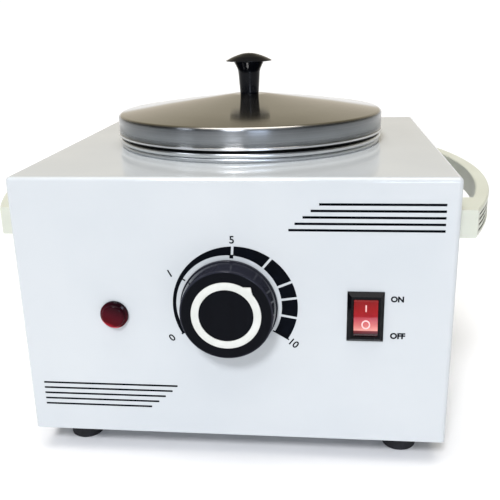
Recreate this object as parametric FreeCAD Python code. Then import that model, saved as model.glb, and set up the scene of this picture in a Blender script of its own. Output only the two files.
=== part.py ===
import FreeCAD, Part

import math
import os

from FreeCAD import Placement, Rotation, Vector

# Electric wax melter: a removable pot and lid in a heated well, in a painted sheet steel case.
# Millimetres. +X is the user's right, +Y the back, +Z up.
# The origin is the middle of the case on the plane that the feet stand on.

# Case
case_width = 172.0
rear_clearance = 10.85       # insulation jacket to the case's back
sheet = 1.0                  # steel of the case and of the base plate
fold_radius = 1.8            # outside of every fold
base_flange = 9.0            # upturned edge of the base plate
base_gap = 0.25              # base plate inside the case
vent_width = 3.0
vent_length = 26.0
vent_pitch = 7.0
vent_count = 6
vent_height = 67.8           # middle of the rear vents above the case's lower edge
base_vent_reach = 41.4       # middle of each row of base vents from the pot's axis
case_screw_inset = 28.0      # side screws from the case's front and back
rear_screw_inset = 30.0      # rear screws from the case's sides
case_screw_length = 7.0

# Feet
foot_height = 11.0
foot_top_radius = 7.8
foot_bottom_radius = 7.0
foot_inset = 16.7            # foot centre from the case's sides, front and back
foot_pocket = 5.5            # depth of the screw's pocket
foot_pocket_radius = 4.2
foot_edge_round = 0.8

# Pot, well and lid, about one upright axis
pot_radius = 56.2            # outside of the pot's wall
pot_wall = 1.2
pot_depth = 90.0             # rim to underside
pot_corner = 9.0             # outside round at the pot's bottom
pot_lip_round = 0.6
rim_overhang = 6.0           # pot's rolled rim past its wall
rim_height = 2.2
well_gap = 1.0               # pot in the well
well_wall = 1.2
well_flange_width = 3.2
well_flange = 1.8
well_flange_round = 0.7
well_lip_round = 0.5
well_boss_radius = 6.0
well_boss_cap = 0.6          # closed end over the bolt's hole
bolt_end_gap = 0.6
seat_gap = 0.1               # one loose piece standing on another
lid_overhang = 0.2           # lid past the rim
lid_sheet = 0.8
lid_skirt = 7.6              # lower edge of the skirt to the start of the shoulder
lid_shoulder = 1.8           # round between skirt and top
lid_hem = 1.3                # rolled lower edge of the skirt
lid_hem_bulge = 0.3
lid_rise = 7.5               # shoulder's corner to the flat under the knob
lid_belly_radius = 40.0      # the cone grows a little shallower inside this radius
lid_belly_rise = 3.3
lid_belly_round = 200.0
lid_crown_radius = 8.0       # flat under the knob
lid_crown_round = 22.0
lid_reveal = 0.9             # dark gap between the skirt and the rim
lid_plug = 2.2               # locating ring inside the pot's mouth
lid_plug_gap = 0.6
lid_ring_collar = 4.0        # that ring's outer collar, pressed into the skirt
lid_ring_step = 0.9          # the collar stands out this much past the lip

# Lid knob
lid_knob_height = 18.6
lid_knob_base_radius = 4.4
lid_knob_base_round = 0.3
lid_knob_neck_radius = 5.15
lid_knob_neck_height = 11.0
lid_knob_neck_round = 7.0
lid_knob_flare_radius = 7.0  # where the stem runs into the cap
lid_knob_cap_radius = 10.7
lid_knob_cap = 4.1           # cap's underside to its crown
lid_knob_lip = 0.5           # the underside rises this much towards the edge
lid_knob_edge = 0.3
lid_knob_shoulder_radius = 7.4
lid_knob_shoulder_drop = 1.65
lid_knob_crown_radius = 2.5
lid_knob_dome_round = 14.0

# Heater round the well
heater_thickness = 3.0
heater_rise = 5.7            # lower edge above the well's underside
heater_gap_angle = 9.0       # slot between the clamp lugs, degrees
heater_lug_angle = 45.0      # where the lugs stand, degrees from +X
heater_lug = 11.0
heater_lug_thickness = 1.5
heater_lug_height = 19.0
heater_screw_offset = 1.5    # clamp screw past the middle of the lugs
clamp_screw_end = 4.0        # screw past the far lug
terminal_angles = (128.0, 146.0)
terminal_length = 9.5
terminal_radius = 1.6
terminal_foot = 6.0
terminal_foot_thickness = 1.0
jacket_thickness = 4.5
jacket_overhang = 3.0        # jacket below the band
jacket_top_overhang = 9.0    # jacket above the band
jacket_window = 16.0         # opening round the lugs, past the slot
jacket_hole_radius = 5.0     # round each terminal
shield_radius = 56.0
shield_thickness = 0.8
shield_level = 8.0           # shield's underside above the base plate's underside
shield_lip = 3.0
shield_clearance = 4.0       # shield to the cut-out
shield_bend = 1.3
shield_post_circle = 48.0
shield_post_radius = 3.5
shield_screw_end = 4.0
cutout_radius = 7.8
cutout_height = 8.5          # the boss beside it is as long, so that the strap lies flat
cutout_reach = 26.0          # its centre from the well's axis
cutout_cap = 1.2             # height of its sensing cap
cutout_cap_step = 0.8
strap_width = 5.0
strap_thickness = 0.6
strap_eye = 2.5              # metal round the boss

# Thermostat and its knob
dial_x = -0.5
dial_height = 58.2
thermostat_radius = 17.0
thermostat_depth = 15.0
thermostat_clearance = 4.35  # its rear to the insulation jacket
thermostat_plate = 1.5
thermostat_plate_height = 14.0
thermostat_plate_margin = 4.5
thermostat_screw_pitch = 28.0
thermostat_screw_length = 6.0
thermostat_bore = 9.0        # depth of the shaft's bore in the drum
shaft_radius = 3.0
shaft_flat = 0.8             # cut off one side of the shaft
shaft_reach = 8.4            # in front of the case
shaft_hole_gap = 2.0         # case round the shaft
shaft_end_gap = 1.5          # behind the shaft in its bore
flat_length = 6.4
running_gap = 0.05
knob_reach = 10.0            # knob's face in front of the case
knob_gap = 0.7               # knob's skirt in front of the case
knob_face_radius = 18.0
knob_skirt_radius = 19.2
knob_skirt = 1.4
knob_wall = 2.2
knob_face = 2.6
knob_hub_radius = 6.5
knob_edge_round = 0.8
knob_skirt_step = 0.4        # skirt past the tapered side
knob_inner_round = 1.0
hub_setback = 0.6            # hub behind the skirt's edge
ring_outer_radius = 13.55
ring_inner_radius = 10.5
ring_pointer = 15.2          # tip of the pointer from the knob's centre
ring_pointer_half_width = 3.4
ring_inlay = 0.6
ring_proud = 0.3
ring_trim = 0.05             # ring smaller than its groove
pointer_angle = 50.0         # where the pointer stands at rest, degrees from +X

# Pilot lamp
lamp_x = -47.0
lamp_height = 53.6
lamp_radius = 5.7
lamp_proud = 3.2
lamp_rim = 1.0               # width of the lens's flat rim
lamp_rim_height = 1.2
lamp_rim_round = 0.4
lamp_cap_round = 1.0
lamp_body_radius = 4.6
lamp_body = 22.0
lamp_body_step = 0.8         # narrower rear end
lamp_body_front = 13.2       # length of the wide front end
lamp_wire_pitch = 3.6
lamp_wire_hole = 4.0
lamp_clip_radius = 7.2
lamp_clip = 1.2

# Rocker switch
switch_x = 52.4
switch_height = 54.9
bezel_width = 14.1
bezel_height = 20.5
bezel_proud = 2.0
bezel_bevel = 1.5
switch_width = 12.4
switch_length = 18.8
switch_depth = 13.5          # body behind the case's front face
rocker_width = 9.1
rocker_radius = 8.75         # its ends turn on this radius about the pivot
rocker_pivot_depth = 2.5     # pivot behind the case's front face
rocker_face = 5.3            # pivot to the valley of the rocker's face
rocker_slope = 6.0           # each half of the face leans this much
rocker_tilt = 8.0            # leans this much either side of centre
rocker_pin_radius = 1.2
rocker_pin = 0.9
rocker_side_gap = 0.15
rocker_pin_end_gap = 0.1
rocker_end_gap = 0.12
rocker_back = 1.8            # behind the pivot
tab_width = 4.8
tab_thickness = 0.8
tab_length = 8.0
tab_pitch = 6.0
tab_setback = 6.0            # thermostat's tabs in front of its rear face

# Side handles
handle_half_length = 73.0
handle_low = 84.0            # underside above the case's lower edge
handle_height = 11.0
handle_reach = 23.0          # from the case's side to the middle of the bar
handle_end_reach = 7.85      # from the case's side to the bar's end corner
handle_bar = 5.7
handle_foot = 20.0           # length of each end that stands on the case
handle_round = 0.7
handle_screw_length = 7.0
handle_washer = 1.0
handle_washer_radius = 4.5
grip_recess = 0.9
grip_margin = 1.4
grip_rows = 3
grip_columns = 13
grip_row_gap = 1.0
grip_column_gap = 1.6
grip_end_margin = 2.2
grip_pad_drop = 0.15         # pads below the handle's own surface

# Cord gland
gland_inset = 26.0           # from the case's left side
gland_height = 24.0
gland_reach = 10.3           # behind the case
gland_bore_radius = 3.6
gland_thread_radius = 6.6
gland_flange_radius = 9.6
gland_flange = 3.0
gland_cap_radius = 7.8
gland_cap_round = 2.4
gland_mouth_round = 0.5
gland_tail = 9.0             # thread inside the case
gland_nut_flats = 18.0
gland_nut = 4.5
gland_notch_radius = 1.2
gland_notches = 6

# Terminal block
block_side_inset = 20.0      # its middle from the case's left side
block_back_inset = 27.5
block_length = 24.0
block_width = 12.0
block_height = 12.0
block_way = 7.5              # each wire way from the block's middle
block_wire_height = 4.5      # above the base plate
block_clamp_radius = 2.4
block_clamp_recess = 1.0
block_screw_recess = 2.6
block_wire_stop = 2.0        # wire's end from the block's middle

# Screws and wires
screw_small = 3.0
screw_large = 4.0
bolt_size = 5.0
pass_gap = 0.2               # screw in a plain hole
thread_gap = 0.05            # screw in its thread
nut_flats_small = 5.5
nut_flats_large = 7.0
nut_flats_bolt = 8.0
nut_small = 2.4
nut_large = 3.0
nut_bolt = 2.7
screw_end = 4.5              # foot screws past the base plate
knob_screw_end = 9.0         # lid knob's screw past the lid
knob_hole = 12.0
knob_washer = 1.0
knob_washer_radius = 6.0
wire_radius = 1.1
capillary_radius = 0.8
capillary_side = 9.0         # where the capillary leaves the drum, from the shaft
capillary_rise = 8.0
lead_run = 8.0               # straight run of a lead at a terminal
bulb_radius = 3.0
bulb_length = 22.0
bulb_angle = 232.0
bulb_round = 1.2
bulb_lift = 2.0              # over the jacket
bulb_head = 10.4             # room above the bulb for its tube
bulb_clip_height = 8.0
bulb_clip_thickness = 0.8

# Radii that follow from the pot outwards
rim_radius = pot_radius + rim_overhang
lid_radius = rim_radius + lid_overhang
well_inner = pot_radius + well_gap
well_outer = well_inner + well_wall
well_flange_radius = well_outer + well_flange_width
heater_inner = well_outer + running_gap
heater_outer = heater_inner + heater_thickness
jacket_inner = heater_outer + pass_gap
jacket_outer = jacket_inner + jacket_thickness
bulb_reach = well_outer + bulb_radius + running_gap
terminal_seat = heater_outer + terminal_foot_thickness / 2 + running_gap
lug_gap = 2 * heater_outer * math.sin(math.radians(heater_gap_angle / 2))
clamp_reach = heater_outer + heater_lug / 2 + heater_screw_offset

# Case round them: the thermostat stands between its front and the jacket
thermostat_rear = sheet + thermostat_plate + thermostat_depth
axis_to_front = thermostat_rear + thermostat_clearance + jacket_outer
axis_to_back = jacket_outer + rear_clearance
case_depth = axis_to_front + axis_to_back
pot_offset = (axis_to_front - axis_to_back) / 2
front = -case_depth / 2
back = case_depth / 2
side = case_width / 2
gland_x = gland_inset - side
block_x = block_side_inset - side
block_y = back - block_back_inset

# Levels that follow from the table upwards
case_base = foot_height
plate_top = case_base + sheet
shield_top = case_base + shield_level + shield_thickness
boss_low = shield_top + shield_clearance
well_low = boss_low + cutout_height
well_floor = well_low + well_wall
pot_low = well_floor + well_gap
rim_top = pot_low + pot_depth
rim_low = rim_top - rim_height
case_top = rim_low - seat_gap - well_flange
case_height = case_top - case_base
lid_seat = rim_top + seat_gap
skirt_low = rim_top + lid_reveal
lid_edge = skirt_low + lid_skirt + lid_shoulder
lid_top = lid_edge + lid_rise
lid_washer_low = lid_top - lid_sheet - knob_washer
bulb_low = case_top - sheet - bulb_head - bulb_length
heater_bottom = well_low + heater_rise
jacket_low = heater_bottom - jacket_overhang
jacket_height = bulb_low - bulb_lift - jacket_low
heater_height = jacket_height - jacket_overhang - jacket_top_overhang
terminal_level = heater_bottom + heater_height / 2
block_screw_seat = plate_top + block_height - block_screw_recess

UP = Vector(0, 0, 1)
DOWN = Vector(0, 0, -1)
FORWARD = Vector(0, -1, 0)
BACKWARD = Vector(0, 1, 0)


def outline(corners):
    """Closed wire in the XZ plane through (x, z) corners; a third number rounds that corner."""
    turns = []
    for index, corner in enumerate(corners):
        here = Vector(corner[0], 0, corner[1])
        if len(corner) < 3:
            turns.append((here, None, here))
            continue
        before = corners[index - 1]
        after = corners[(index + 1) % len(corners)]
        to_before = (Vector(before[0], 0, before[1]) - here).normalize()
        to_after = (Vector(after[0], 0, after[1]) - here).normalize()
        half_angle = to_before.getAngle(to_after) / 2
        middle_line = (to_before + to_after).normalize()
        reach = corner[2] / math.tan(half_angle)
        depth = corner[2] / math.sin(half_angle) - corner[2]
        turns.append((here + to_before * reach, here + middle_line * depth, here + to_after * reach))
    edges = []
    for index, (entry, middle, leave) in enumerate(turns):
        if middle is not None:
            edges.append(Part.Arc(entry, middle, leave).toShape())
        following = turns[(index + 1) % len(turns)][0]
        if leave.distanceToPoint(following) > 1e-6:
            edges.append(Part.LineSegment(leave, following).toShape())
    return Part.Wire(Part.__sortEdges__(edges))


def turned(corners):
    """Solid of revolution about Z of an outline of (radius, height) corners."""
    return Part.Face(outline(corners)).revolve(Vector(0, 0, 0), UP, 360)


def block(x_size, y_size, z_size, centre):
    """Box about a centre point."""
    low = centre - Vector(x_size, y_size, z_size) / 2
    return Part.makeBox(x_size, y_size, z_size, low)


def placed(shape, point, direction=UP):
    """The shape with its own +Z turned to a direction and its origin moved to a point."""
    moved = shape.copy()
    moved.Placement = Placement(point, Rotation(UP, direction)).multiply(shape.Placement)
    return moved


def spun(shape, angle, centre=Vector(0, 0, 0), axis=UP):
    """The shape turned by some degrees about an axis through a centre."""
    moved = shape.copy()
    moved.rotate(centre, axis, angle)
    return moved


def rod(radius, length, point, direction=UP):
    return Part.makeCylinder(radius, length, point, direction)


def hexagon(across_flats, height, hole_radius):
    """Hexagonal nut on Z = 0 with a round hole."""
    corner_radius = across_flats / math.sqrt(3)
    angles = [math.radians(60 * step) for step in range(7)]
    points = [Vector(corner_radius * math.cos(a), corner_radius * math.sin(a), 0) for a in angles]
    body = Part.Face(Part.makePolygon(points)).extrude(Vector(0, 0, height))
    return body.cut(rod(hole_radius, height + 2, Vector(0, 0, -1)))


def washer(hole_radius, outer_radius, thickness):
    return rod(outer_radius, thickness, Vector()).cut(rod(hole_radius, thickness + 2, Vector(0, 0, -1)))


def pan_screw(size, length):
    """Cross-slotted pan head screw: head on Z = 0, shank below it."""
    head_radius = 0.95 * size
    head_height = 0.7 * size
    slot_width = 0.22 * size
    screw = turned([
        (0, -length), (size / 2 - 0.4, -length), (size / 2, -length + 0.4), (size / 2, 0),
        (head_radius, 0), (head_radius, head_height, 0.35 * size), (0, head_height)])
    slot_centre = Vector(0, 0, head_height)
    for x_size, y_size in ((1.1 * size, slot_width), (slot_width, 1.1 * size)):
        screw = screw.cut(block(x_size, y_size, 0.7 * size, slot_centre))
    return screw


def group(shapes):
    """Separate like solids in one node."""
    return Part.makeCompound(shapes)


def tube(points, radius):
    """Round wire or tube along straight runs joined by tangent arcs."""
    points = [Vector(*point) for point in points]
    runs = [points[i].distanceToPoint(points[i + 1]) for i in range(len(points) - 1)]
    edges = []
    cursor = points[0]
    for index in range(1, len(points) - 1):
        here = points[index]
        to_before = (points[index - 1] - here).normalize()
        to_after = (points[index + 1] - here).normalize()
        half_angle = to_before.getAngle(to_after) / 2
        reach = 0.45 * min(runs[index - 1], runs[index])
        bend_radius = reach * math.tan(half_angle)
        depth = bend_radius / math.sin(half_angle) - bend_radius
        entry = here + to_before * reach
        middle = here + (to_before + to_after).normalize() * depth
        leave = here + to_after * reach
        edges.append(Part.LineSegment(cursor, entry).toShape())
        edges.append(Part.Arc(entry, middle, leave).toShape())
        cursor = leave
    edges.append(Part.LineSegment(cursor, points[-1]).toShape())
    path = Part.Wire(edges)
    start = (points[1] - points[0]).normalize()
    section = Part.Wire([Part.makeCircle(radius, points[0], start)])
    return path.makePipeShell([section], True, True)


def folded_box(width, depth, height, radius):
    """Box on Z = 0 about the Z axis, with its upright and top edges rounded."""
    box = Part.makeBox(width, depth, height, Vector(-width / 2, -depth / 2, 0))
    folds = [edge for edge in box.Edges if edge.BoundBox.ZMax > height / 2]
    return box.makeFillet(radius, folds)


def slot(width, length, thickness, centre, direction):
    """Round-ended slot cutter: its length runs along X before its +Z is turned to the direction."""
    straight = length - width
    cutter = block(straight, width, thickness, Vector())
    for end in (-straight / 2, straight / 2):
        cutter = cutter.fuse(rod(width / 2, thickness, Vector(end, 0, -thickness / 2)))
    return placed(cutter, centre, direction)


def case_screw_seats():
    """Point on the case's outside and outward direction of each case screw."""
    height = case_base + base_flange / 2 + sheet / 2
    reach = case_depth / 2 - case_screw_inset
    seats = []
    for sign in (-1, 1):
        for y in (-reach, reach):
            seats.append((Vector(sign * side, y, height), Vector(sign, 0, 0)))
        seats.append((Vector(sign * (side - rear_screw_inset), back, height), BACKWARD))
    return seats


def foot_centres():
    x = side - foot_inset
    y = case_depth / 2 - foot_inset
    return [Vector(sx * x, sy * y, 0) for sy in (-1, 1) for sx in (-1, 1)]


def handle_screw_points():
    """Where each handle screw crosses the case's side, on the right-hand side."""
    y = handle_half_length - handle_foot / 2
    z = case_base + handle_low + handle_height / 2
    return [Vector(side, -y, z), Vector(side, y, z)]


def shield_post_points():
    points = []
    for step in range(4):
        angle = math.radians(45 + 90 * step)
        x = shield_post_circle * math.cos(angle)
        y = pot_offset + shield_post_circle * math.sin(angle)
        points.append(Vector(x, y, 0))
    return points


def around_pot(shape):
    """Move a piece made about the Z axis to the pot's axis."""
    return shape.translated(Vector(0, pot_offset, 0))


# Case

def make_housing_shell():
    shell = folded_box(case_width, case_depth, case_height, fold_radius)
    inside = folded_box(
        case_width - 2 * sheet, case_depth - 2 * sheet, case_height - sheet, fold_radius - sheet)
    shell = shell.cut(inside)
    shell.translate(Vector(0, 0, case_base))
    through = 4 * sheet
    cutters = [rod(well_outer + pass_gap, through, Vector(0, pot_offset, case_top - through / 2))]
    dial = Vector(dial_x, front - sheet, case_base + dial_height)
    cutters.append(rod(shaft_radius + shaft_hole_gap, through, dial, BACKWARD))
    for sign in (-1, 1):
        hole = dial + Vector(sign * thermostat_screw_pitch / 2, 0, 0)
        cutters.append(rod(screw_large / 2 + pass_gap, through, hole, BACKWARD))
    lamp = Vector(lamp_x, front - sheet, case_base + lamp_height)
    cutters.append(rod(lamp_body_radius + pass_gap, through, lamp, BACKWARD))
    cutters.append(block(
        switch_width + pass_gap, through, switch_length + pass_gap,
        Vector(switch_x, front, case_base + switch_height)))
    gland = Vector(gland_x, back + sheet, case_base + gland_height)
    cutters.append(rod(gland_thread_radius + pass_gap, through, gland, FORWARD))
    for point in handle_screw_points():
        for sign in (-1, 1):
            hole = Vector(sign * (side + sheet), point.y, point.z)
            cutters.append(rod(screw_large / 2 + pass_gap, through, hole, Vector(-sign, 0, 0)))
    for point, outward in case_screw_seats():
        cutters.append(rod(screw_small / 2 + pass_gap, through, point + outward * sheet, outward * -1))
    for step in range(vent_count):
        x = (step - (vent_count - 1) / 2) * vent_pitch
        centre = Vector(x, back - sheet / 2, case_base + vent_height)
        cutters.append(spun(
            slot(vent_width, vent_length, through, centre, BACKWARD), 90, centre, BACKWARD))
    for cutter in cutters:
        shell = shell.cut(cutter)
    return shell


def make_base_plate():
    """Tray that closes the case from below, with upturned edges for the case screws."""
    width = case_width - 2 * (sheet + base_gap)
    depth = case_depth - 2 * (sheet + base_gap)
    height = base_flange + sheet
    tray = block(width, depth, height, Vector(0, 0, height / 2))
    corners = [edge for edge in tray.Edges if edge.BoundBox.ZLength > sheet]
    tray = tray.makeFillet(fold_radius, corners)
    tray = tray.cut(block(width - 2 * sheet, depth - 2 * sheet, height, Vector(0, 0, height / 2 + sheet)))
    tray.translate(Vector(0, 0, case_base))
    through = 4 * sheet
    below = Vector(0, 0, case_base - sheet)
    cutters = [rod(screw_large / 2 + pass_gap, through, point + below) for point in foot_centres()]
    cutters += [rod(screw_small / 2 + pass_gap, through, point + below) for point in shield_post_points()]
    cutters.append(rod(bolt_size / 2 + pass_gap, through, Vector(0, pot_offset, 0) + below))
    cutters.append(rod(screw_small / 2 + thread_gap, through, Vector(block_x, block_y, 0) + below))
    for sign in (-1, 1):
        for step in range(vent_count):
            x = (step - (vent_count - 1) / 2) * vent_pitch
            y = pot_offset + sign * base_vent_reach
            cutters.append(spun(
                slot(vent_width, vent_length, through, Vector(x, y, case_base), UP),
                90, Vector(x, y, case_base)))
    for point, outward in case_screw_seats():
        cutters.append(rod(
            screw_small / 2 + thread_gap, case_screw_length, point + outward * sheet, outward * -1))
    for cutter in cutters:
        tray = tray.cut(cutter)
    return tray


def make_case_screws():
    return group([placed(pan_screw(screw_small, case_screw_length), point, outward)
                  for point, outward in case_screw_seats()])


def make_foot(centre):
    foot = turned([
        (screw_large / 2 + pass_gap, foot_pocket), (foot_pocket_radius, foot_pocket),
        (foot_pocket_radius, 0), (foot_bottom_radius, 0, foot_edge_round), (foot_top_radius, foot_height),
        (screw_large / 2 + pass_gap, foot_height)])
    return placed(foot, centre)


def make_foot_screws():
    head_seat = Vector(0, 0, foot_pocket)
    length = foot_height - foot_pocket + sheet + screw_end
    return group([placed(pan_screw(screw_large, length), centre + head_seat, DOWN)
                  for centre in foot_centres()])


def make_foot_nuts():
    nut = hexagon(nut_flats_large, nut_large, screw_large / 2 + thread_gap)
    return group([placed(nut, centre + Vector(0, 0, plate_top)) for centre in foot_centres()])


# Pot, well and what heats it

def make_wax_pot():
    inner = pot_radius - pot_wall
    pot = turned([
        (0, pot_low), (pot_radius, pot_low, pot_corner), (pot_radius, rim_low),
        (rim_radius, rim_low, rim_height * 0.45), (rim_radius, rim_top, rim_height * 0.45),
        (inner, rim_top, pot_lip_round), (inner, pot_low + pot_wall, pot_corner - pot_wall),
        (0, pot_low + pot_wall)])
    return around_pot(pot)


def make_heating_well():
    """Drawn well with a flange on the case's top and a tapped boss underneath."""
    corner = pot_corner + well_gap
    bore = bolt_size / 2 + thread_gap
    bore_top = well_low - well_boss_cap
    flange_top = case_top + well_flange
    well = turned([
        (0, bore_top), (bore, bore_top), (bore, boss_low), (well_boss_radius, boss_low),
        (well_boss_radius, well_low), (well_outer, well_low, corner + well_wall),
        (well_outer, case_top), (well_flange_radius, case_top),
        (well_flange_radius, flange_top, well_flange_round), (well_inner, flange_top, well_lip_round),
        (well_inner, well_floor, corner), (0, well_floor)])
    return around_pot(well)


def make_band_heater():
    """Band round the well, slotted at one side, with two clamp lugs."""
    band = washer(heater_inner, heater_outer, heater_height).translated(Vector(0, 0, heater_bottom))
    cutter_height = 2 * heater_height
    slot_cutter = block(2 * heater_lug, lug_gap, cutter_height, Vector(heater_inner, 0, terminal_level))
    band = band.cut(slot_cutter)
    lug_length = heater_lug + heater_thickness
    lug_middle = heater_outer + heater_lug - lug_length / 2
    for sign in (-1, 1):
        y = sign * (lug_gap + heater_lug_thickness) / 2
        band = band.fuse(block(lug_length, heater_lug_thickness, heater_lug_height,
                               Vector(lug_middle, y, terminal_level)))
    band = band.cut(rod(well_outer, cutter_height, Vector(0, 0, 0)))
    hole_length = 2 * (lug_gap + 2 * heater_lug_thickness)
    hole = Vector(clamp_reach, -hole_length / 2, terminal_level)
    band = band.cut(rod(screw_small / 2 + pass_gap, hole_length, hole, BACKWARD))
    return around_pot(spun(band.removeSplitter(), heater_lug_angle))


def make_heater_clamp_screw():
    seat = Vector(clamp_reach, -lug_gap / 2 - heater_lug_thickness, terminal_level)
    length = lug_gap + 2 * heater_lug_thickness + clamp_screw_end
    return around_pot(spun(placed(pan_screw(screw_small, length), seat, FORWARD), heater_lug_angle))


def make_heater_clamp_nut():
    nut = hexagon(nut_flats_small, nut_small, screw_small / 2 + thread_gap)
    seat = Vector(clamp_reach, lug_gap / 2 + heater_lug_thickness, terminal_level)
    return around_pot(spun(placed(nut, seat, BACKWARD), heater_lug_angle))


def make_heater_terminals():
    """Two studs that stand out of the band, each on a square foot."""
    studs = []
    for angle in terminal_angles:
        seat = Vector(terminal_seat, 0, terminal_level)
        foot = block(terminal_foot_thickness, terminal_foot, terminal_foot, seat)
        stud = rod(terminal_radius, terminal_length, seat, Vector(1, 0, 0))
        studs.append(around_pot(spun(foot.fuse(stud).removeSplitter(), angle)))
    return group(studs)


def make_insulation_jacket():
    """Soft ring round the band, open at the lugs and round each terminal."""
    jacket = washer(jacket_inner, jacket_outer, jacket_height).translated(Vector(0, 0, jacket_low))
    window = block(4 * jacket_thickness, lug_gap + jacket_window, 2 * jacket_height,
                   Vector(jacket_outer, 0, terminal_level))
    jacket = jacket.cut(spun(window, heater_lug_angle))
    for angle in terminal_angles:
        opening = rod(jacket_hole_radius, 4 * jacket_thickness,
                      Vector(heater_inner, 0, terminal_level), Vector(1, 0, 0))
        jacket = jacket.cut(spun(opening, angle))
    return around_pot(jacket)


def make_heat_shield():
    level = shield_top - shield_thickness
    top = shield_top
    shield = turned([
        (bolt_size / 2 + pass_gap, level), (shield_radius, level, shield_bend),
        (shield_radius, top + shield_lip), (shield_radius - shield_thickness, top + shield_lip),
        (shield_radius - shield_thickness, top, shield_bend - shield_thickness),
        (bolt_size / 2 + pass_gap, top)])
    shield = around_pot(shield)
    for point in shield_post_points():
        hole = point + Vector(0, 0, level - 1)
        shield = shield.cut(rod(screw_small / 2 + pass_gap, shield_thickness + 2, hole))
    return shield


def make_shield_spacers():
    """Sleeves between the base plate and the shield, tapped from above for a screw."""
    spacer = washer(screw_small / 2 + pass_gap, shield_post_radius, shield_level - sheet)
    return group([placed(spacer, point + Vector(0, 0, plate_top)) for point in shield_post_points()])


def make_shield_screws():
    seat = Vector(0, 0, case_base)
    length = shield_level + shield_thickness + shield_screw_end
    return group([placed(pan_screw(screw_small, length), point + seat, DOWN)
                  for point in shield_post_points()])


def make_shield_nuts():
    nut = hexagon(nut_flats_small, nut_small, screw_small / 2 + thread_gap)
    seat = Vector(0, 0, shield_top)
    return group([placed(nut, point + seat) for point in shield_post_points()])


def make_well_bolt():
    seat = Vector(0, pot_offset, case_base)
    length = well_low - well_boss_cap - bolt_end_gap - case_base
    return placed(pan_screw(bolt_size, length), seat, DOWN)


def make_thermal_cutout():
    """Disc cut-out against the underside of the well."""
    centre = Vector(cutout_reach, pot_offset, well_low - cutout_height)
    step = cutout_radius - cutout_cap_step
    shoulder = cutout_height - cutout_cap
    body = turned([
        (0, 0), (cutout_radius, 0, cutout_cap_step), (cutout_radius, shoulder), (step, shoulder),
        (step, cutout_height, cutout_cap_step / 2), (0, cutout_height)])
    return placed(body, centre)


def make_cutout_strap():
    """Sprung strap with an eye round the well's boss, which holds the cut-out up."""
    top = boss_low - running_gap
    length = cutout_reach + cutout_radius
    strap = block(length, strap_width, strap_thickness, Vector(length / 2, 0, -strap_thickness / 2))
    eye = rod(well_boss_radius + strap_eye, strap_thickness, Vector(0, 0, -strap_thickness))
    hole = rod(bolt_size / 2 + pass_gap, 2 * strap_thickness, Vector(0, 0, -1.5 * strap_thickness))
    strap = strap.fuse(eye).removeSplitter().cut(hole)
    return around_pot(strap.translated(Vector(0, 0, top)))


def make_strap_nut():
    """Nut on the well's bolt that clamps the strap against the boss."""
    nut = hexagon(nut_flats_bolt, nut_bolt, bolt_size / 2 + thread_gap)
    return around_pot(nut.translated(Vector(0, 0, boss_low - 2 * running_gap - strap_thickness - nut_bolt)))


# Thermostat and knob

def make_thermostat_body():
    """Moulded drum behind the front, on a flat plate, with a bore for the shaft."""
    inside = Vector(dial_x, front + sheet, case_base + dial_height)
    drum = rod(thermostat_radius, thermostat_plate + thermostat_depth, inside, BACKWARD)
    width = thermostat_screw_pitch + 2 * thermostat_plate_margin
    plate = block(width, thermostat_plate, thermostat_plate_height,
                  inside + Vector(0, thermostat_plate / 2, 0))
    body = drum.fuse(plate).removeSplitter()
    body = body.cut(rod(shaft_radius + running_gap, thermostat_plate + thermostat_bore, inside, BACKWARD))
    for sign in (-1, 1):
        hole = inside + Vector(sign * thermostat_screw_pitch / 2, 0, 0)
        body = body.cut(rod(screw_large / 2 + thread_gap, thermostat_screw_length, hole, BACKWARD))
    return body


def make_thermostat_screws():
    seat = Vector(dial_x, front, case_base + dial_height)
    return group([placed(flat_screw(screw_large, thermostat_screw_length),
                         seat + Vector(sign * thermostat_screw_pitch / 2, 0, 0), FORWARD)
                  for sign in (-1, 1)])


def flat_screw(size, length):
    """Screw with a thin flat head that hides under the knob."""
    head_radius = 0.8 * size
    head_height = 0.12 * size
    return turned([(0, -length), (size / 2, -length), (size / 2, 0), (head_radius, 0),
                   (head_radius, head_height), (0, head_height)])


def thermostat_tab_points():
    rear = front + thermostat_rear
    z = case_base + dial_height - thermostat_radius
    return [Vector(dial_x + sign * tab_pitch, rear - tab_setback, z) for sign in (-1, 1)]


def make_thermostat_tabs():
    """Two tabs that hang below the drum, each from the drum's curve."""
    tabs = []
    for point in thermostat_tab_points():
        inner_edge = abs(point.x - dial_x) - tab_width / 2
        drum_drop = math.sqrt(thermostat_radius ** 2 - inner_edge ** 2)
        top = case_base + dial_height - drum_drop - running_gap
        length = tab_length + top - point.z
        tabs.append(block(tab_width, tab_thickness, length, Vector(point.x, point.y, top - length / 2)))
    return group(tabs)


def make_thermostat_shaft():
    """Shaft from the drum through the case, with a flat for the knob."""
    start = Vector(dial_x, front - shaft_reach, case_base + dial_height)
    shaft = rod(shaft_radius, shaft_reach + sheet + thermostat_plate + thermostat_bore - shaft_end_gap,
                start, BACKWARD)
    flat = block(2 * shaft_radius, flat_length, shaft_flat,
                 start + Vector(0, flat_length / 2, shaft_radius - shaft_flat / 2))
    return turn_to_pointer(shaft.cut(flat))


def turn_to_pointer(shape):
    """Turn a piece made with its pointer upwards to where the knob rests."""
    centre = Vector(dial_x, front, case_base + dial_height)
    return spun(shape, pointer_angle - 90.0, centre, FORWARD)


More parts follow.
